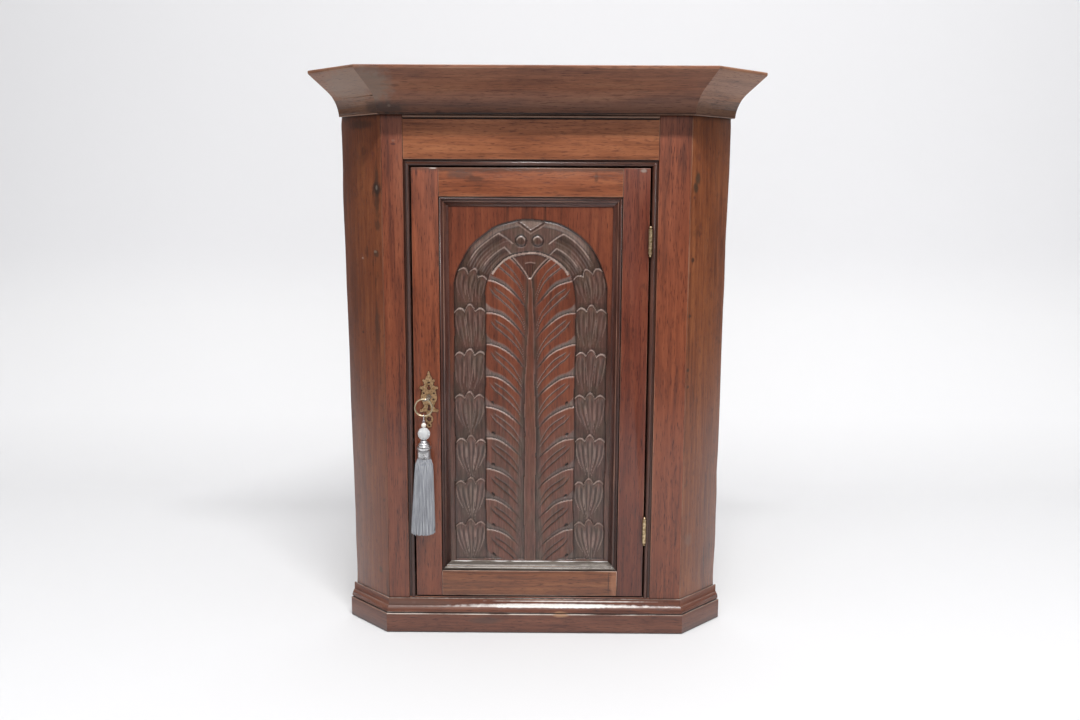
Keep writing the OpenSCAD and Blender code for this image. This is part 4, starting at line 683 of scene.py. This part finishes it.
# %% Palm leaf
def palm_leaf(u, z, x):
    """The leaf inside the border. u is the distance from the door's middle."""
    fall = LEAF_DROP * (np.clip(INNER - u, 0, None) / INNER) ** 2.1
    count = np.floor((z + fall - LEAF_Z) / LEAF_PITCH)
    above = z + fall - LEAF_Z - count * LEAF_PITCH      # height over the arris below
    below = LEAF_PITCH - above                          # distance under the leaflet's own arris
    gap = np.interp(u / INNER, [0, 0.3, 0.6, 0.8, 0.9, 1], [1, 5, 8, 7, 9.5, 17])
    in_crescent = above < gap
    crescent = DEEP - 2.2 * np.clip(1 - above / gap, 0, 1) ** 0.6
    height = np.where(in_crescent, crescent, DEEP - 0.1)
    fade = step(19, 33, u)
    lower = step(390, 270, z)                           # the lowest leaflets: dustier, with weaker painted highlights and darker painted shade in the crescents
    # a painted highlight along each leaflet's arris
    bright = line(below - 0.9, 1.45 - 0.35 * lower) * fade * (1 - 0.25 * lower * step(56, 40, u) - 0.15 * lower)
    # the crescent is grey with dust, with a painted highlight as a fine light edge on its far side
    bright = np.maximum(bright, 0.13 * in_crescent * step(1.2, 4, above) * fade)
    bright = np.maximum(bright, 0.2 * line(above - gap - 0.6, 1.1) * step(20, 40, u) * (1 - lower))
    # a painted shadow line just above each arris, and on the lowest leaflets darker painted shade in the crescent
    shade_and_grime = 0.4 * line(above - 1.0, 1.2) * fade * np.interp(u, [40, 60, 72], [1, 0.6, 0.45])
    shade_and_grime = np.maximum(shade_and_grime, 0.7 * lower * line(above - gap, 1.7) * step(24, 44, u))
    shade_and_grime = np.maximum(shade_and_grime, 0.5 * lower * in_crescent * step(30, 44, u))
    # two gouged veins, each painted dark with a painted highlight along one side
    for far, near, strength in (
            ([9, 14, 21, 32, 44, 58, 64, 68], [44, 36, 32, 30.5, 28.5, 23.5, 18, 12.5], 1.0),
            ([10, 14, 19, 28, 40, 52, 57, 61], [33, 27, 22.5, 18.2, 16, 14.2, 12.6, 10.5], 0.85)):
        vein = below - np.interp(u, far, near)
        reach = step(far[-1] + 1, far[-1] - 5, u) * step(6, 12, u)
        height = height - 1.2 * line(vein, 1.9) * reach * strength
        shade_and_grime = np.maximum(shade_and_grime, 0.85 * line(vein - 0.3, 1.5 + 0.6 * lower) * reach * strength * (0.45 + 0.55 * lower))
        bright = np.maximum(bright, 0.55 * line(vein + 1.5, 1.15) * reach * strength * (1 - 0.75 * lower))
    # the drilled eye of the hook, painted dark as the shade in it
    eye = np.hypot(u - 62.5, above - gap - 1.2)
    height = np.where((eye < 2.6) & (z < 420), np.minimum(height, 1.0), height)
    shade_and_grime = np.maximum(shade_and_grime, step(3.4, 1.6, eye) * step(420, 380, z))
    # a corner beyond the hook painted pale, as rubbed wood and highlight
    bright = np.maximum(bright, 0.3 * in_crescent * (u > 66) * step(2, 7, above) * (z > 560))
    # the channel beside the stem, painted darker with shade and grime, without highlights
    stem = np.interp(z, [FOOT, 400, 470, 530, 600, 620], [9.6, 9.4, 7.2, 5.2, 3.6, 2.4])
    edge = np.interp(z, [FOOT, 195, 315, 370, 450, 530, 600], [32, 30, 25, 20, 16.5, 12.5, 8])
    edge = edge * np.where(x < 0, 1, 0.84)
    channel = step(edge, stem + 2.5, u)
    shallow = step(400, 480, z)
    height = height * (1 - channel) + channel * (0.7 + 1.6 * shallow + 0.4 * height / DEEP)
    dusk = step(np.interp(z, [FOOT, 370, 450, 600], [34, 26, 26, 15]), stem + 1, u)   # darker along the stem
    bright = bright * (1 - channel)
    shade_and_grime = np.maximum(shade_and_grime * (1 - 0.5 * channel), 0.3 * channel * (1 - 0.5 * shallow) + 0.16 * dusk * shallow)
    on_stem = (u < stem) & (z < 620)
    height = np.where(on_stem, DEEP - 0.15, height)
    shade_and_grime = np.where(on_stem, 0.12, np.maximum(shade_and_grime, np.where(
        x > 0, 0.42 * line(u - stem - 2.0, 3.6), 0.22 * line(u - stem - 0.9, 1.4)) * (z < 620)))
    bright = np.where(on_stem, 0.25 * line(u - stem + 0.8, 1.2), bright)
    dull = np.maximum(np.maximum(channel, 0.75 * dusk), 0.5 * step(460, 330, z))
    dull = np.maximum(np.clip(DEEP - height, 0, 1), dull)
    return height, bright, shade_and_grime, np.where(on_stem, 0.5 - 0.15 * shallow, dull)


# %% [markdown]
# On the arch two hollow blades run up from the last husk to slanting ends, inside a smooth rolled rim. The
# keystone carries two round bosses under a rim that dips to a point. Below it the crown of the leaf is a wedge painted
# dark between two painted highlight lines, with a shallow raised arc and fine flutes. Edges, ends and bosses carry
# painted highlights, and the hollows beside them painted shade.

# %% Arch, keystone and crown
def arch(x, z, radius, turn, height, bright, shade_and_grime):
    """Carves the arch over what the husks have left of the border there."""
    u = np.abs(x)

    def cover(mask, new_height, new_bright=0.0, new_shade_and_grime=0.0):
        nonlocal height, bright, shade_and_grime
        height = np.where(mask, new_height, height)
        bright = np.where(mask, new_bright, bright)
        shade_and_grime = np.where(mask, new_shade_and_grime, shade_and_grime)

    start = step(24, 36, turn) * (height < 1.5)          # the blades grow out from under the last husk
    split, rim = 93.0, 117.5
    inner_end, outer_end = 66.4 - (radius - 75.5) * 0.25, 71.5 - (radius - 94) * 0.37
    # each blade with painted highlights at its end and its outer edge, and painted shade along its hollow
    for r_in, r_out, end in ((74.0, split, inner_end), (split, rim, outer_end)):
        share = (radius - r_in) / (r_out - r_in)
        blade = (share > 0) & (share < 1) & (turn < end) & (turn > 26) & (height < 2.2)
        hollow = 2.7 - 1.5 * np.sin(np.clip(share, 0, 1) * math.pi) ** 1.5
        threads = line((share * 4.5) % 1 - 0.5, 0.25)
        ends = line((end - turn) * 1.6 - 1.2, 1.6)
        edge = line((radius - r_out) + 1.2, 1.4) * step(29, 36, turn)
        cover(blade, np.maximum(hollow * start, height) - 0.35 * threads,
              np.maximum(np.maximum(0.95 * ends, 0.85 * edge), 0.3 * threads * step(60, 40, turn)),
              np.maximum(0.75 * line(share - 0.62, 0.3), 0.3))
    # the rolled rim, with a painted highlight along it and painted shade at its inner foot
    rolled = DEEP - 0.1 - 1.7 * np.clip(np.abs(radius - 122.5) / 5.0, 0, 1) ** 2
    on_rim = (radius > rim) & (radius < FIELD) & (turn > 30)
    cover(on_rim, rolled * step(28, 42, turn) + height * step(42, 28, turn),
          0.42 * line(radius - 121.0, 3.8) * step(34, 46, turn), 0.25 + 0.5 * line(radius - rim - 0.4, 1.6))
    # keystone, painted darker next to the blades' ends
    end = np.where(radius < split, inner_end, outer_end)
    stone = (radius > 74.5) & (radius < rim) & (turn > end)
    cover(stone, 1.9 + 0.6 * np.sin(np.clip((radius - 76) / 42, 0, 1) * math.pi),
          0.08, 0.28 + 0.5 * line((turn - end) * 1.7 - 1.5, 2.4))
    # two round bosses, each ringed by painted shade and with a painted highlight on its upper half
    boss = np.hypot(np.abs(x + 2.3) - 14, z - 678)
    cover(stone & (boss < 10.5), 1.2, 0.0, 0.7)
    cover(stone & (boss < 7.8), 1.8 + 1.4 * np.sqrt(np.clip(1 - (boss / 8.2) ** 2, 0, 1)),
          0.85 * line(boss - 6.8, 1.5) * step(-1.5, 3, z - 678), 0.3)
    # the rim dips to a point over the keystone, with a painted shadow line along its edge between painted highlights
    dip = z - (693.5 + np.abs(u) * 0.72)
    cover((dip > 0) & (u < 19) & (radius < FIELD), 0.9, 0.5, 0.1)
    cover((np.abs(dip) < 2.2) & (u < 22), 2.6, 0.0, 0.9 * line(dip + 0.4, 2.2))
    cover((np.abs(dip + 4.2) < 1.6) & (u < 24), 2.6, 0.6 * line(dip + 4.2, 1.7), 0.1)
    # the thick arris along the arch's inner edge, with a painted highlight, and a painted shadow just outside it
    cover((radius > 71.3) & (radius < 74.6) & (turn > 30), DEEP - 0.1, 0.95, 0.0)
    cover((radius >= 74.6) & (radius < 76.6) & (turn > 34), 1.0, 0.0, 0.8)
    return height, bright, shade_and_grime


def crown(u, z, height, bright, shade_and_grime, dull):
    """Carves the crown between the two top leaflets."""
    wedge = z - (616 + 33.5 * (np.clip(u - 2.5, 0, None) / 26) ** 0.75)
    flutes = line((u / 4.2 + 0.5) % 1 - 0.5, 0.3) * step(13, 6, u) * step(643, 636, z)
    inside = (wedge > 0) & (z > 612)
    height = np.where(inside, 1.7 - 0.8 * flutes, height)
    shade_and_grime = np.where(inside, 0.25 + 0.5 * flutes, shade_and_grime)
    arc = z - (643 - u * u / 36)
    bright = np.where(inside, 0.6 * line(arc, 1.3) * (u < 8.5), bright)
    shade_and_grime = np.where(inside, np.maximum(shade_and_grime, 0.8 * line(arc + 2.4, 1.6) * (u < 8.5)), shade_and_grime)
    # painted highlights along the wedge's two edges
    cut = line(wedge, 1.9) * (z > 614)
    return height + 0.9 * cut, np.maximum(bright, 0.9 * cut), shade_and_grime * (1 - cut), np.where(inside, 0.7, dull)


# %% [markdown]
# The parts are put together here. A hand never cuts the same line twice, so the whole pattern wanders by about a
# millimetre, and the bright lines, painted highlights and rubbed wood alike, are broken up here and there.

# %% Whole carving
def carving(x, z):
    """Depth, painted highlight with rub, painted shade with grime, and dullness, for x from the door's middle and z
    from the floor, in millimetres.
    """
    # hand and time make every line wander
    uneven = 0.5 + 0.5 * np.sin(x / 11.3 + 1.7 * np.sin(z / 23.0)) * np.sin(z / 13.7 + 2.1 * np.sin(x / 17.0))
    x, z = (x + 0.8 * np.sin(z / 31 + 0.4) + 0.45 * np.sin(z / 9.7 + x / 23),
            z + 0.9 * np.sin(x / 27 + 1.1) + 0.5 * np.sin(x / 8.3 + z / 19))
    u = np.abs(x)
    rise = np.clip(z - SPRING, 0, None)
    radius = np.hypot(u, rise)
    turn = np.degrees(np.arctan2(rise, np.maximum(u, 1e-6)))
    run = np.where(z > SPRING, SPRING + MIDDLE * np.radians(turn), z)
    left, right = (husks(run, (radius - MIDDLE) * 0.98, random.Random(seed)) for seed in (3, 8))
    border = [np.where(x < 0, a, b) for a, b in zip(left, right)]
    border = (*arch(x, z, radius, turn, *border), np.full_like(u, 0.92))
    leaf = crown(u, z, *palm_leaf(u, z, x))
    inner = np.where(turn > 30, 71.3, INNER)
    height, bright, shade_and_grime, dull = (np.where(radius < inner, a, b) for a, b in zip(leaf, border))
    # a straight cut, painted dark as shade, parts border and leaf on the legs, and a painted shadow line runs round the
    # whole field
    cut = line(radius - INNER, 1.7) * (turn < 20)
    height = height - 1.4 * cut
    shade_and_grime = np.maximum(shade_and_grime, 0.75 * cut)
    bright = bright * (0.5 + 0.5 * uneven) * (1 - cut)
    inside = (radius < FIELD) & (z > FOOT)
    round_edge = line(radius - FIELD - 0.4, 2.4) * (0.55 + 0.45 * step(10, 60, turn)) * (z > FOOT)
    depth = np.where(inside, DEEP - np.clip(height, 0, DEEP), 0.0)
    bright = np.where(inside, bright, 0.0)
    # the plain margin is painted dark beside the border, as shade and grime, and grey lower down
    margin = 0.5 * step(610, 510, z) * step(340, 430, z) + 0.3 * step(430, 340, z)
    shade_and_grime = np.maximum(np.where(inside, shade_and_grime, margin * (radius > FIELD - 4)), round_edge)
    dull = np.where(inside, dull, 0.75 * step(520, 380, z))
    return depth, bright, shade_and_grime, dull


probe = carving(np.array([0.0, 40.0, 102.0, 120.0]), np.array([300.0, 300.0, 300.0, 600.0]))
print("depth at stem, leaflet, husk and arch in mm:", probe[0].round(2))

# %% [markdown]
# The grid stops a little outside the carving. Its rim is then extruded outward to the panel's real width, and
# back into the grooves of the door's frame, so the board is closed and its back shows when the door is open.

# %% Panel board
def turn_outward():
    """Turns every face of the active piece outwards."""
    edit_mode("SELECT")
    bpy.ops.mesh.normals_make_consistent(inside=False)
    object_mode()


def points_of(mesh):
    """The places of a mesh's points, as rows of x, y and z."""
    places = np.empty(len(mesh.vertices) * 3)
    mesh.vertices.foreach_get("co", places)
    return places.reshape(-1, 3)


low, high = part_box("door_panel")
cell = 1.3 * MM
GRID_HALF, GRID_FOOT, GRID_TOP = 129.5, 125.5, 714.5     # millimetres, a little outside the carved field
left, right, bottom, top = DOOR_X - GRID_HALF * MM, DOOR_X + GRID_HALF * MM, GRID_FOOT * MM, GRID_TOP * MM
across, up = round((right - left) / cell), round((top - bottom) / cell)
deselect()
bpy.ops.mesh.primitive_grid_add(x_subdivisions=across, y_subdivisions=up, size=1)
panel = bpy.context.object
panel.scale = (right - left, top - bottom, 1)
panel.rotation_euler = (math.radians(90), 0, 0)
panel.location = ((left + right) / 2, low.y, (bottom + top) / 2)
settle(panel, "carved_panel")
points = points_of(panel.data)
depth = carving((points[:, 0] - DOOR_X) / MM, points[:, 2] / MM)[0]
points[:, 1] = low.y + depth * MM
panel.data.vertices.foreach_set("co", points.ravel())
print("grid of", across, "by", up, "cells, deepest cut", round(depth.max(), 2), "mm")

# %% Close the panel
def stretch_rim(y):
    """Moves the panel's selected rim out to its real sides, at y."""
    object_mode()
    for v in panel.data.vertices:
        if v.select:
            for axis, first, last in ((0, left, right), (2, bottom, top)):
                if abs(v.co[axis] - first) < 1e-5 or v.co[axis] < low[axis]:
                    v.co[axis] = low[axis]
                elif abs(v.co[axis] - last) < 1e-5 or v.co[axis] > high[axis]:
                    v.co[axis] = high[axis]
            v.co.y = y
    edit_mode()


pick_no_edges(panel)
edit_mode()
bpy.ops.mesh.select_non_manifold()
bpy.ops.mesh.extrude_region_move()
stretch_rim(low.y)
bpy.ops.mesh.extrude_region_move()
stretch_rim(high.y)
bpy.ops.mesh.edge_face_add()
turn_outward()
print("panel box in mm:", [[round(c[i] / MM, 1) for i in range(3)] for c in (low, high)],
      "triangles:", sum(len(f.vertices) - 2 for f in panel.data.polygons))

# %% [markdown]
# The finish reads three of the numbers from attributes on the panel's points: how bright it is painted, for
# highlights and rubbed wood, how dark it is painted, for shade and grime, and how dull it has gone. A fourth, found by
# comparing each point's depth with its surroundings, paints shade into the hollows.

# %% Painted shade and highlights, dirt and rub marks on the carving
grid_x = np.linspace(-GRID_HALF, GRID_HALF, across + 1)
grid_z = np.linspace(GRID_FOOT, GRID_TOP, up + 1)
depth, bright, shade_and_grime, dull = carving(*np.meshgrid(grid_x, grid_z))


def blurred(values, reach):
    """Mean over a square of that many cells each way."""
    for axis in (0, 1):
        padded = np.pad(values, [(reach + 1, reach) if a == axis else (0, 0) for a in (0, 1)], mode="edge")
        total = np.cumsum(padded, axis=axis)
        n = values.shape[axis]
        far_end = np.take(total, range(2 * reach + 1, 2 * reach + 1 + n), axis=axis)
        values = (far_end - np.take(total, range(n), axis=axis)) / (2 * reach + 1)
    return values


proud = blurred(blurred(depth, 2), 2) - depth


def write_attribute(name, table, margin):
    """Looks a table over the carved field up for every point of the panel, and for its plain margin if asked."""
    co = points_of(panel.data)
    column = np.clip(((co[:, 0] - left) / (right - left) * across).round().astype(int), 0, across)
    row = np.clip(((co[:, 2] - bottom) / (top - bottom) * up).round().astype(int), 0, up)
    known = co[:, 1] < low.y + 5 * MM
    if not margin:
        beyond = 0.2 * MM
        known &= np.abs(co[:, 0] - DOOR_X) < (right - left) / 2 + beyond
        known &= np.abs(co[:, 2] - (bottom + top) / 2) < (top - bottom) / 2 + beyond
    values = np.where(known, table[row, column], 0.0)
    panel.data.attributes.new(name, "FLOAT", "POINT").data.foreach_set("value", values.astype(np.float32))


for name, table, margin in (("proud", proud, False), ("rubbed_and_highlight", bright, False), ("shade_and_grime", shade_and_grime, True),
                            ("dull", dull, True)):
    write_attribute(name, table, margin)
print("stands proud by up to", round(proud.max(), 2), "mm and lies back by", round(-proud.min(), 2), "mm")

# %% [markdown]
# The carved board is the same waxed oak under a second coat of history. Smoke and dust have greyed what lies low,
# the cuts are painted dark with shade and black wax, and the arrises are painted pale with highlights and rubbing. So
# the oak made above is kept, and four layers are mixed over its colour by the attributes just written.

# %% Carved oak finish
carved = oak("carved_panel", "upright", dark="#3e1f15", middle="#6d3522", light="#87492f", seed=41, stain=0.3)
tree = carved.node_tree
shader = tree.nodes["Principled BSDF"]
wood = shader.inputs["Base Color"].links[0].from_socket
dull_here, rubbed_and_highlight, shade_and_grime_here, stands_out = (add_node(tree, "Attribute", attribute_name=name).outputs["Fac"]
                                             for name in ("dull", "rubbed_and_highlight", "shade_and_grime", "proud"))
coord = add_node(tree, "TexCoord").outputs["Object"]
# gouge marks: streaks of colour about 2 mm apart that run up the board
tooling = add_node(tree, "TexNoise", Vector=add_node(tree, "Mapping", Vector=coord, Scale=(1, 1, 0.1)),
                   Scale=430, Detail=3, Roughness=0.65)
dusty = set_ramp(add_node(tree, "ValToRGB", Fac=tooling), [(0.3, "#38271f"), (0.5, "#573e35"), (0.7, "#6f554a")])
# some petals are redder and some greener, each over a couple of centimetres
hues = add_node(tree, "TexNoise", Vector=add_node(tree, "Mapping", Vector=coord, Scale=(1, 1, 0.5)),
                Scale=75, Detail=2)
tint = set_ramp(add_node(tree, "ValToRGB", Fac=hues), [(0.42, (1.0, 0.86, 0.84, 1)), (0.6, (0.86, 0.95, 0.86, 1))])
dusty = add_node(tree, "Mix", data_type="RGBA", blend_type="MULTIPLY", in0=1.0, in6=dusty, in7=tint)
mixed = add_node(tree, "Mix", data_type="RGBA", in0=dull_here, in6=wood, in7=dusty)
# painted shade in the hollows: the further a point lies below its surroundings, the darker it is painted
hollow = add_node(tree, "MapRange", Value=stands_out, From_Min=-0.9, From_Max=-0.05, To_Min=0.5, To_Max=1)
mixed = add_node(tree, "Mix", data_type="RGBA", blend_type="MULTIPLY", in0=1.0, in6=mixed, in7=hollow)
# painted shade and black wax along the cuts, from the shade and grime numbers
mixed = add_node(tree, "Mix", data_type="RGBA", in0=add_node(tree, "Math", operation="MULTIPLY",
                 in0=shade_and_grime_here, in1=0.8), in6=mixed, in7="#231713")
# rubbed lines and painted highlights are pale, and a little broken by the grain
broken = add_node(tree, "MapRange", Value=tooling, From_Min=0.35, From_Max=0.6, To_Min=0.65, To_Max=1)
pale = add_node(tree, "Math", operation="MULTIPLY", in0=rubbed_and_highlight, in1=broken)
highlight_and_rub_colour = add_node(tree, "Mix", data_type="RGBA", in0=dull_here, in6="#a98c80", in7="#b6a196")
mixed = add_node(tree, "Mix", data_type="RGBA", in0=pale, in6=mixed, in7=highlight_and_rub_colour)
set_inputs(shader, Base_Color=mixed)
panel.data.materials.append(carved)
smooth(panel, 50)
stands_for(panel, "door_panel")

# %% [markdown]
# ## Brass, iron and steel
# The hinges and the keyhole plate are cast and sheet brass, gone brown except where a hand or a cloth passes. The
# lock and its key are hand-filed iron, and the key ring and the tassel's fittings are plated.

# %% Metals
def worn_metal(name, bright_hex, dull_hex, rough, size_mm=6, corner_darkening=0.6):
    """Old metal: bright where it is rubbed, dull and darker in patches and corners."""
    finish, tree, shader = new_finish(name)
    coord = add_node(tree, "TexCoord").outputs["Object"]
    patches = add_node(tree, "TexNoise", Vector=coord, Scale=1000 / size_mm, Detail=5, Roughness=0.65)
    mask = add_node(tree, "MapRange", Value=patches, From_Min=0.38, From_Max=0.64)
    colour = add_node(tree, "Mix", data_type="RGBA", in0=mask, in6=bright_hex, in7=dull_hex)
    corner = add_node(tree, "AmbientOcclusion", samples=4, Distance=0.003)
    shade = add_node(tree, "MapRange", Value=corner.outputs["AO"], From_Min=0.3, From_Max=0.95, To_Min=1 - corner_darkening,
                     To_Max=1)
    colour = add_node(tree, "Mix", data_type="RGBA", blend_type="MULTIPLY", in0=1.0, in6=colour, in7=shade)
    gloss = add_node(tree, "MapRange", Value=mask, To_Min=rough, To_Max=rough + 0.2)
    bump = add_node(tree, "Bump", Strength=0.3, Distance=0.0002, Height=patches)
    set_inputs(shader, Base_Color=colour, Metallic=1.0, Roughness=gloss, Normal=bump)
    return finish


METALS = {
    "hinge_brass": worn_metal("cast_brass_dulled", "#ecd6ae", "#8e7350", 0.4),
    "escutcheon_brass": worn_metal("sheet_brass_worn", "#dcba92", "#a07e5a", 0.42, size_mm=4, corner_darkening=0.8),
    "iron": worn_metal("filed_iron", "#6a625a", "#3c342e", 0.42, size_mm=5),
    "ring_steel": worn_metal("plated_wire", "#e6d9bd", "#b8a583", 0.26, size_mm=3, corner_darkening=0.4),
    "tassel_silver": worn_metal("plated_metal", "#e9e8e8", "#bdbcc0", 0.24, size_mm=5, corner_darkening=0.5),
}
# the small bead over the crystal is white and softly shiny
nacre = new_finish("pearl_nacre", Base_Color="#e6e0d6", Roughness=0.24, Coat_Weight=0.6)[0]
handled = worn_metal("iron_polished_by_hands", "#cfc6bb", "#7c7269", 0.3, size_mm=4)      # the key
for node, slot in slot_of.items():
    if slot in METALS and node != "tassel_cap":
        fitting = maker_copy(node)
        smooth(fitting, 40)
        fitting.data.materials.append({"pearl_bead": nacre, "key": handled}.get(node, METALS[slot]))
print("metal fittings dressed:", sum(s in METALS for s in slot_of.values()))

# %% [markdown]
# ## The tassel
# A curtain-maker's tassel hangs from the key ring: a cut crystal ball, a plated cap with a rolled lip, and a skirt
# of some three hundred shiny threads. One thread is modelled as a thin tube of a few faces and then copied, each
# copy along its own line round the cap, so that the skirt has real strands at its hem and gaps between them.

# %% Thread skirt
TASSEL_X, TASSEL_Y = sum(corner.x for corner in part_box("tassel_skirt")) / 2, -187 * MM
SKIRT_TOP, HEM = 314.1 * MM, 185.6 * MM
IN_CAP = 6 * MM                       # how far a thread runs up inside the cap
THREAD = SKIRT_TOP - HEM + IN_CAP     # a thread's length
OUTER_ROW, INNER_ROW = 170, 130       # threads in each row
HANG = 3.2 * MM                       # the skirt hangs a little to the left


def skirt_radius(share):
    """Radius of the skirt for a share of the way down from the cap, in metres."""
    shares, radii = [-0.05, 0.02, 0.08, 0.4, 0.75, 0.985, 1], [9.6, 12.8, 15.4, 17.2, 19.2, 20.6, 20.4]
    return float(np.interp(share, shares, radii)) * MM


deselect()
bpy.ops.mesh.primitive_circle_add(vertices=5, radius=0.62 * MM, fill_type="NGON", location=(0, 0, 0))
strand = bpy.context.object
edit_mode()
for _ in range(9):
    bpy.ops.mesh.extrude_region_move(TRANSFORM_OT_translate={"value": (0, 0, -THREAD / 9)})
object_mode()
settle(strand, "one_thread")
thread_rng = random.Random(21)
threads = []
for k in range(OUTER_ROW + INNER_ROW):
    layer = 0 if k < OUTER_ROW else 1
    angle = 2 * math.pi * (k + thread_rng.uniform(-0.3, 0.3)) / (INNER_ROW if layer else OUTER_ROW)
    inset = 0.6 * MM + layer * 1.6 * MM + thread_rng.uniform(0, 0.5) * MM
    wave, phase = thread_rng.uniform(0.2, 0.9) * MM, thread_rng.uniform(0, 6.28)
    drift, cut_off = thread_rng.uniform(-0.06, 0.06), thread_rng.uniform(0, 3.2) * MM
    copy = new_object("thread", strand.data.copy())
    for v in copy.data.vertices:
        share = -v.co.z / THREAD
        reach = skirt_radius(share * 1.05 - 0.05) - inset
        turn = angle + drift * share + wave / 0.02 * math.sin(phase + share * 7)
        z = SKIRT_TOP + IN_CAP + v.co.z + cut_off * max(0, share - 0.5) * 2
        v.co = Vector((TASSEL_X - HANG * share + (reach + v.co.x) * math.cos(turn) - v.co.y * math.sin(turn),
                       TASSEL_Y + (reach + v.co.x) * math.sin(turn) + v.co.y * math.cos(turn), z))
    threads.append(copy)
deselect()
for copy in threads:
    copy.select_set(True)
bpy.context.view_layer.objects.active = threads[0]
bpy.ops.object.join()
skirt = bpy.context.object
skirt.name = skirt.data.name = "tassel_threads"
bpy.data.objects.remove(strand)
turn_outward()
smooth(skirt, 60)
print("threads:", len(threads), "faces:", len(skirt.data.polygons))

# %% Core of the skirt
deselect()
bpy.ops.mesh.primitive_circle_add(vertices=40, radius=skirt_radius(0) - 1.6 * MM, fill_type="NGON",
                                  location=(TASSEL_X, TASSEL_Y, SKIRT_TOP + 8 * MM))
core = bpy.context.object
edit_mode()
last = skirt_radius(0) - 1.6 * MM
z_now = SKIRT_TOP + 8 * MM
for share in (0.02, 0.12, 0.4, 0.75, 0.96):
    goal = skirt_radius(share) - 3.2 * MM
    z_goal = SKIRT_TOP - share * (SKIRT_TOP - HEM)
    bpy.ops.mesh.extrude_region_move(TRANSFORM_OT_translate={"value": (0, 0, z_goal - z_now)})
    bpy.ops.transform.resize(value=(goal / last, goal / last, 1))
    last, z_now = goal, z_goal
turn_outward()
settle(core, "tassel_core")
smooth(core, 60)

# Rayon thread, twisted and smooth: a cool grey-blue with a soft long sheen, darker between the strands
rayon, tree, shader = new_finish("rayon_thread_grey_blue", Roughness=0.5, Sheen_Weight=0.3, Sheen_Roughness=0.4)
coord = add_node(tree, "TexCoord").outputs["Object"]
strands = add_node(tree, "TexNoise", Vector=add_node(tree, "Mapping", Vector=coord, Scale=(1, 1, 0.02)),
                   Scale=700, Detail=2)
ramp = set_ramp(add_node(tree, "ValToRGB", Fac=strands), [(0.34, "#74767c"), (0.5, "#8e9096"), (0.66, "#a6a8ac")])
set_inputs(shader, Base_Color=ramp)
skirt.data.materials.append(rayon)
deep_thread, tree, shader = new_finish("rayon_thread_in_shade", Roughness=0.8)
coord = add_node(tree, "TexCoord").outputs["Object"]
strands = add_node(tree, "TexNoise", Vector=add_node(tree, "Mapping", Vector=coord, Scale=(1, 1, 0.02)),
                   Scale=900, Detail=1)
ramp = set_ramp(add_node(tree, "ValToRGB", Fac=strands), [(0.35, "#54575e"), (0.65, "#7c7f86")])
set_inputs(shader, Base_Color=ramp)
core.data.materials.append(deep_thread)
stands_for(skirt, "tassel_skirt")
stands_for(core, "tassel_skirt")

# %% [markdown]
# The cap is turned metal, so its outline is drawn once, from the hole at the top round the lip to the thin edge
# that grips the threads, and spun about the tassel's axis.

# %% Cap
CAP_PROFILE = [(1.0, 347.0), (3.6, 347.1), (5.6, 346.2), (6.6, 344.6), (6.2, 343.2), (7.6, 342.4), (9.2, 340.8),
               (10.0, 338.8), (9.6, 337.4), (10.2, 336.6), (11.8, 335.6), (12.3, 334.0), (11.9, 332.2), (10.9, 331.2),
               (10.5, 330.4), (10.8, 329.4), (10.9, 326.0), (10.9, 320.0), (11.0, 314.4), (11.4, 313.2), (11.3, 312.2),
               (10.3, 312.1), (10.1, 314.0), (10.1, 329.5), (1.0, 329.5)]
deselect()
bpy.ops.mesh.primitive_circle_add(vertices=len(CAP_PROFILE), radius=0.01)
cap = bpy.context.object
for v, (r, z) in zip(cap.data.vertices, CAP_PROFILE):
    v.co = (TASSEL_X + r * MM, TASSEL_Y, z * MM)
edit_mode("SELECT")
bpy.ops.mesh.spin(steps=48, angle=2 * math.pi, center=(TASSEL_X, TASSEL_Y, 0), axis=(0, 0, 1))
bpy.ops.mesh.select_all(action="SELECT")
bpy.ops.mesh.remove_doubles(threshold=1e-6)
bpy.ops.mesh.normals_make_consistent(inside=False)
object_mode()
settle(cap, "turned_cap")
smooth(cap, 40)
cap.data.materials.append(METALS["tassel_silver"])
stands_for(cap, "tassel_cap")
print("cap faces:", len(cap.data.polygons))

# %% [markdown]
# The crystal ball is cut with rows of flat facets. Glass shows what is behind and around it in broken pieces, so
# the facets stay flat shaded and their corners are what sparkles.

# %% Crystal ball
low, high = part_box("crystal_bead")
deselect()
bpy.ops.mesh.primitive_uv_sphere_add(segments=12, ring_count=8, radius=(high.x - low.x) / 2 * 1.05,
                                     location=((low.x + high.x) / 2, (low.y + high.y) / 2, (low.z + high.z) / 2))
ball = bpy.context.object
edit_mode("SELECT")
bpy.ops.mesh.bevel(offset=0.25 * MM, segments=1, affect="EDGES")
object_mode()
settle(ball, "cut_crystal_ball")
glass = new_finish("cut_crystal_glass", Base_Color="#f4f7f8", Roughness=0.03, IOR=1.54, Transmission_Weight=0.5)[0]
ball.data.materials.append(glass)
stands_for(ball, "crystal_bead")
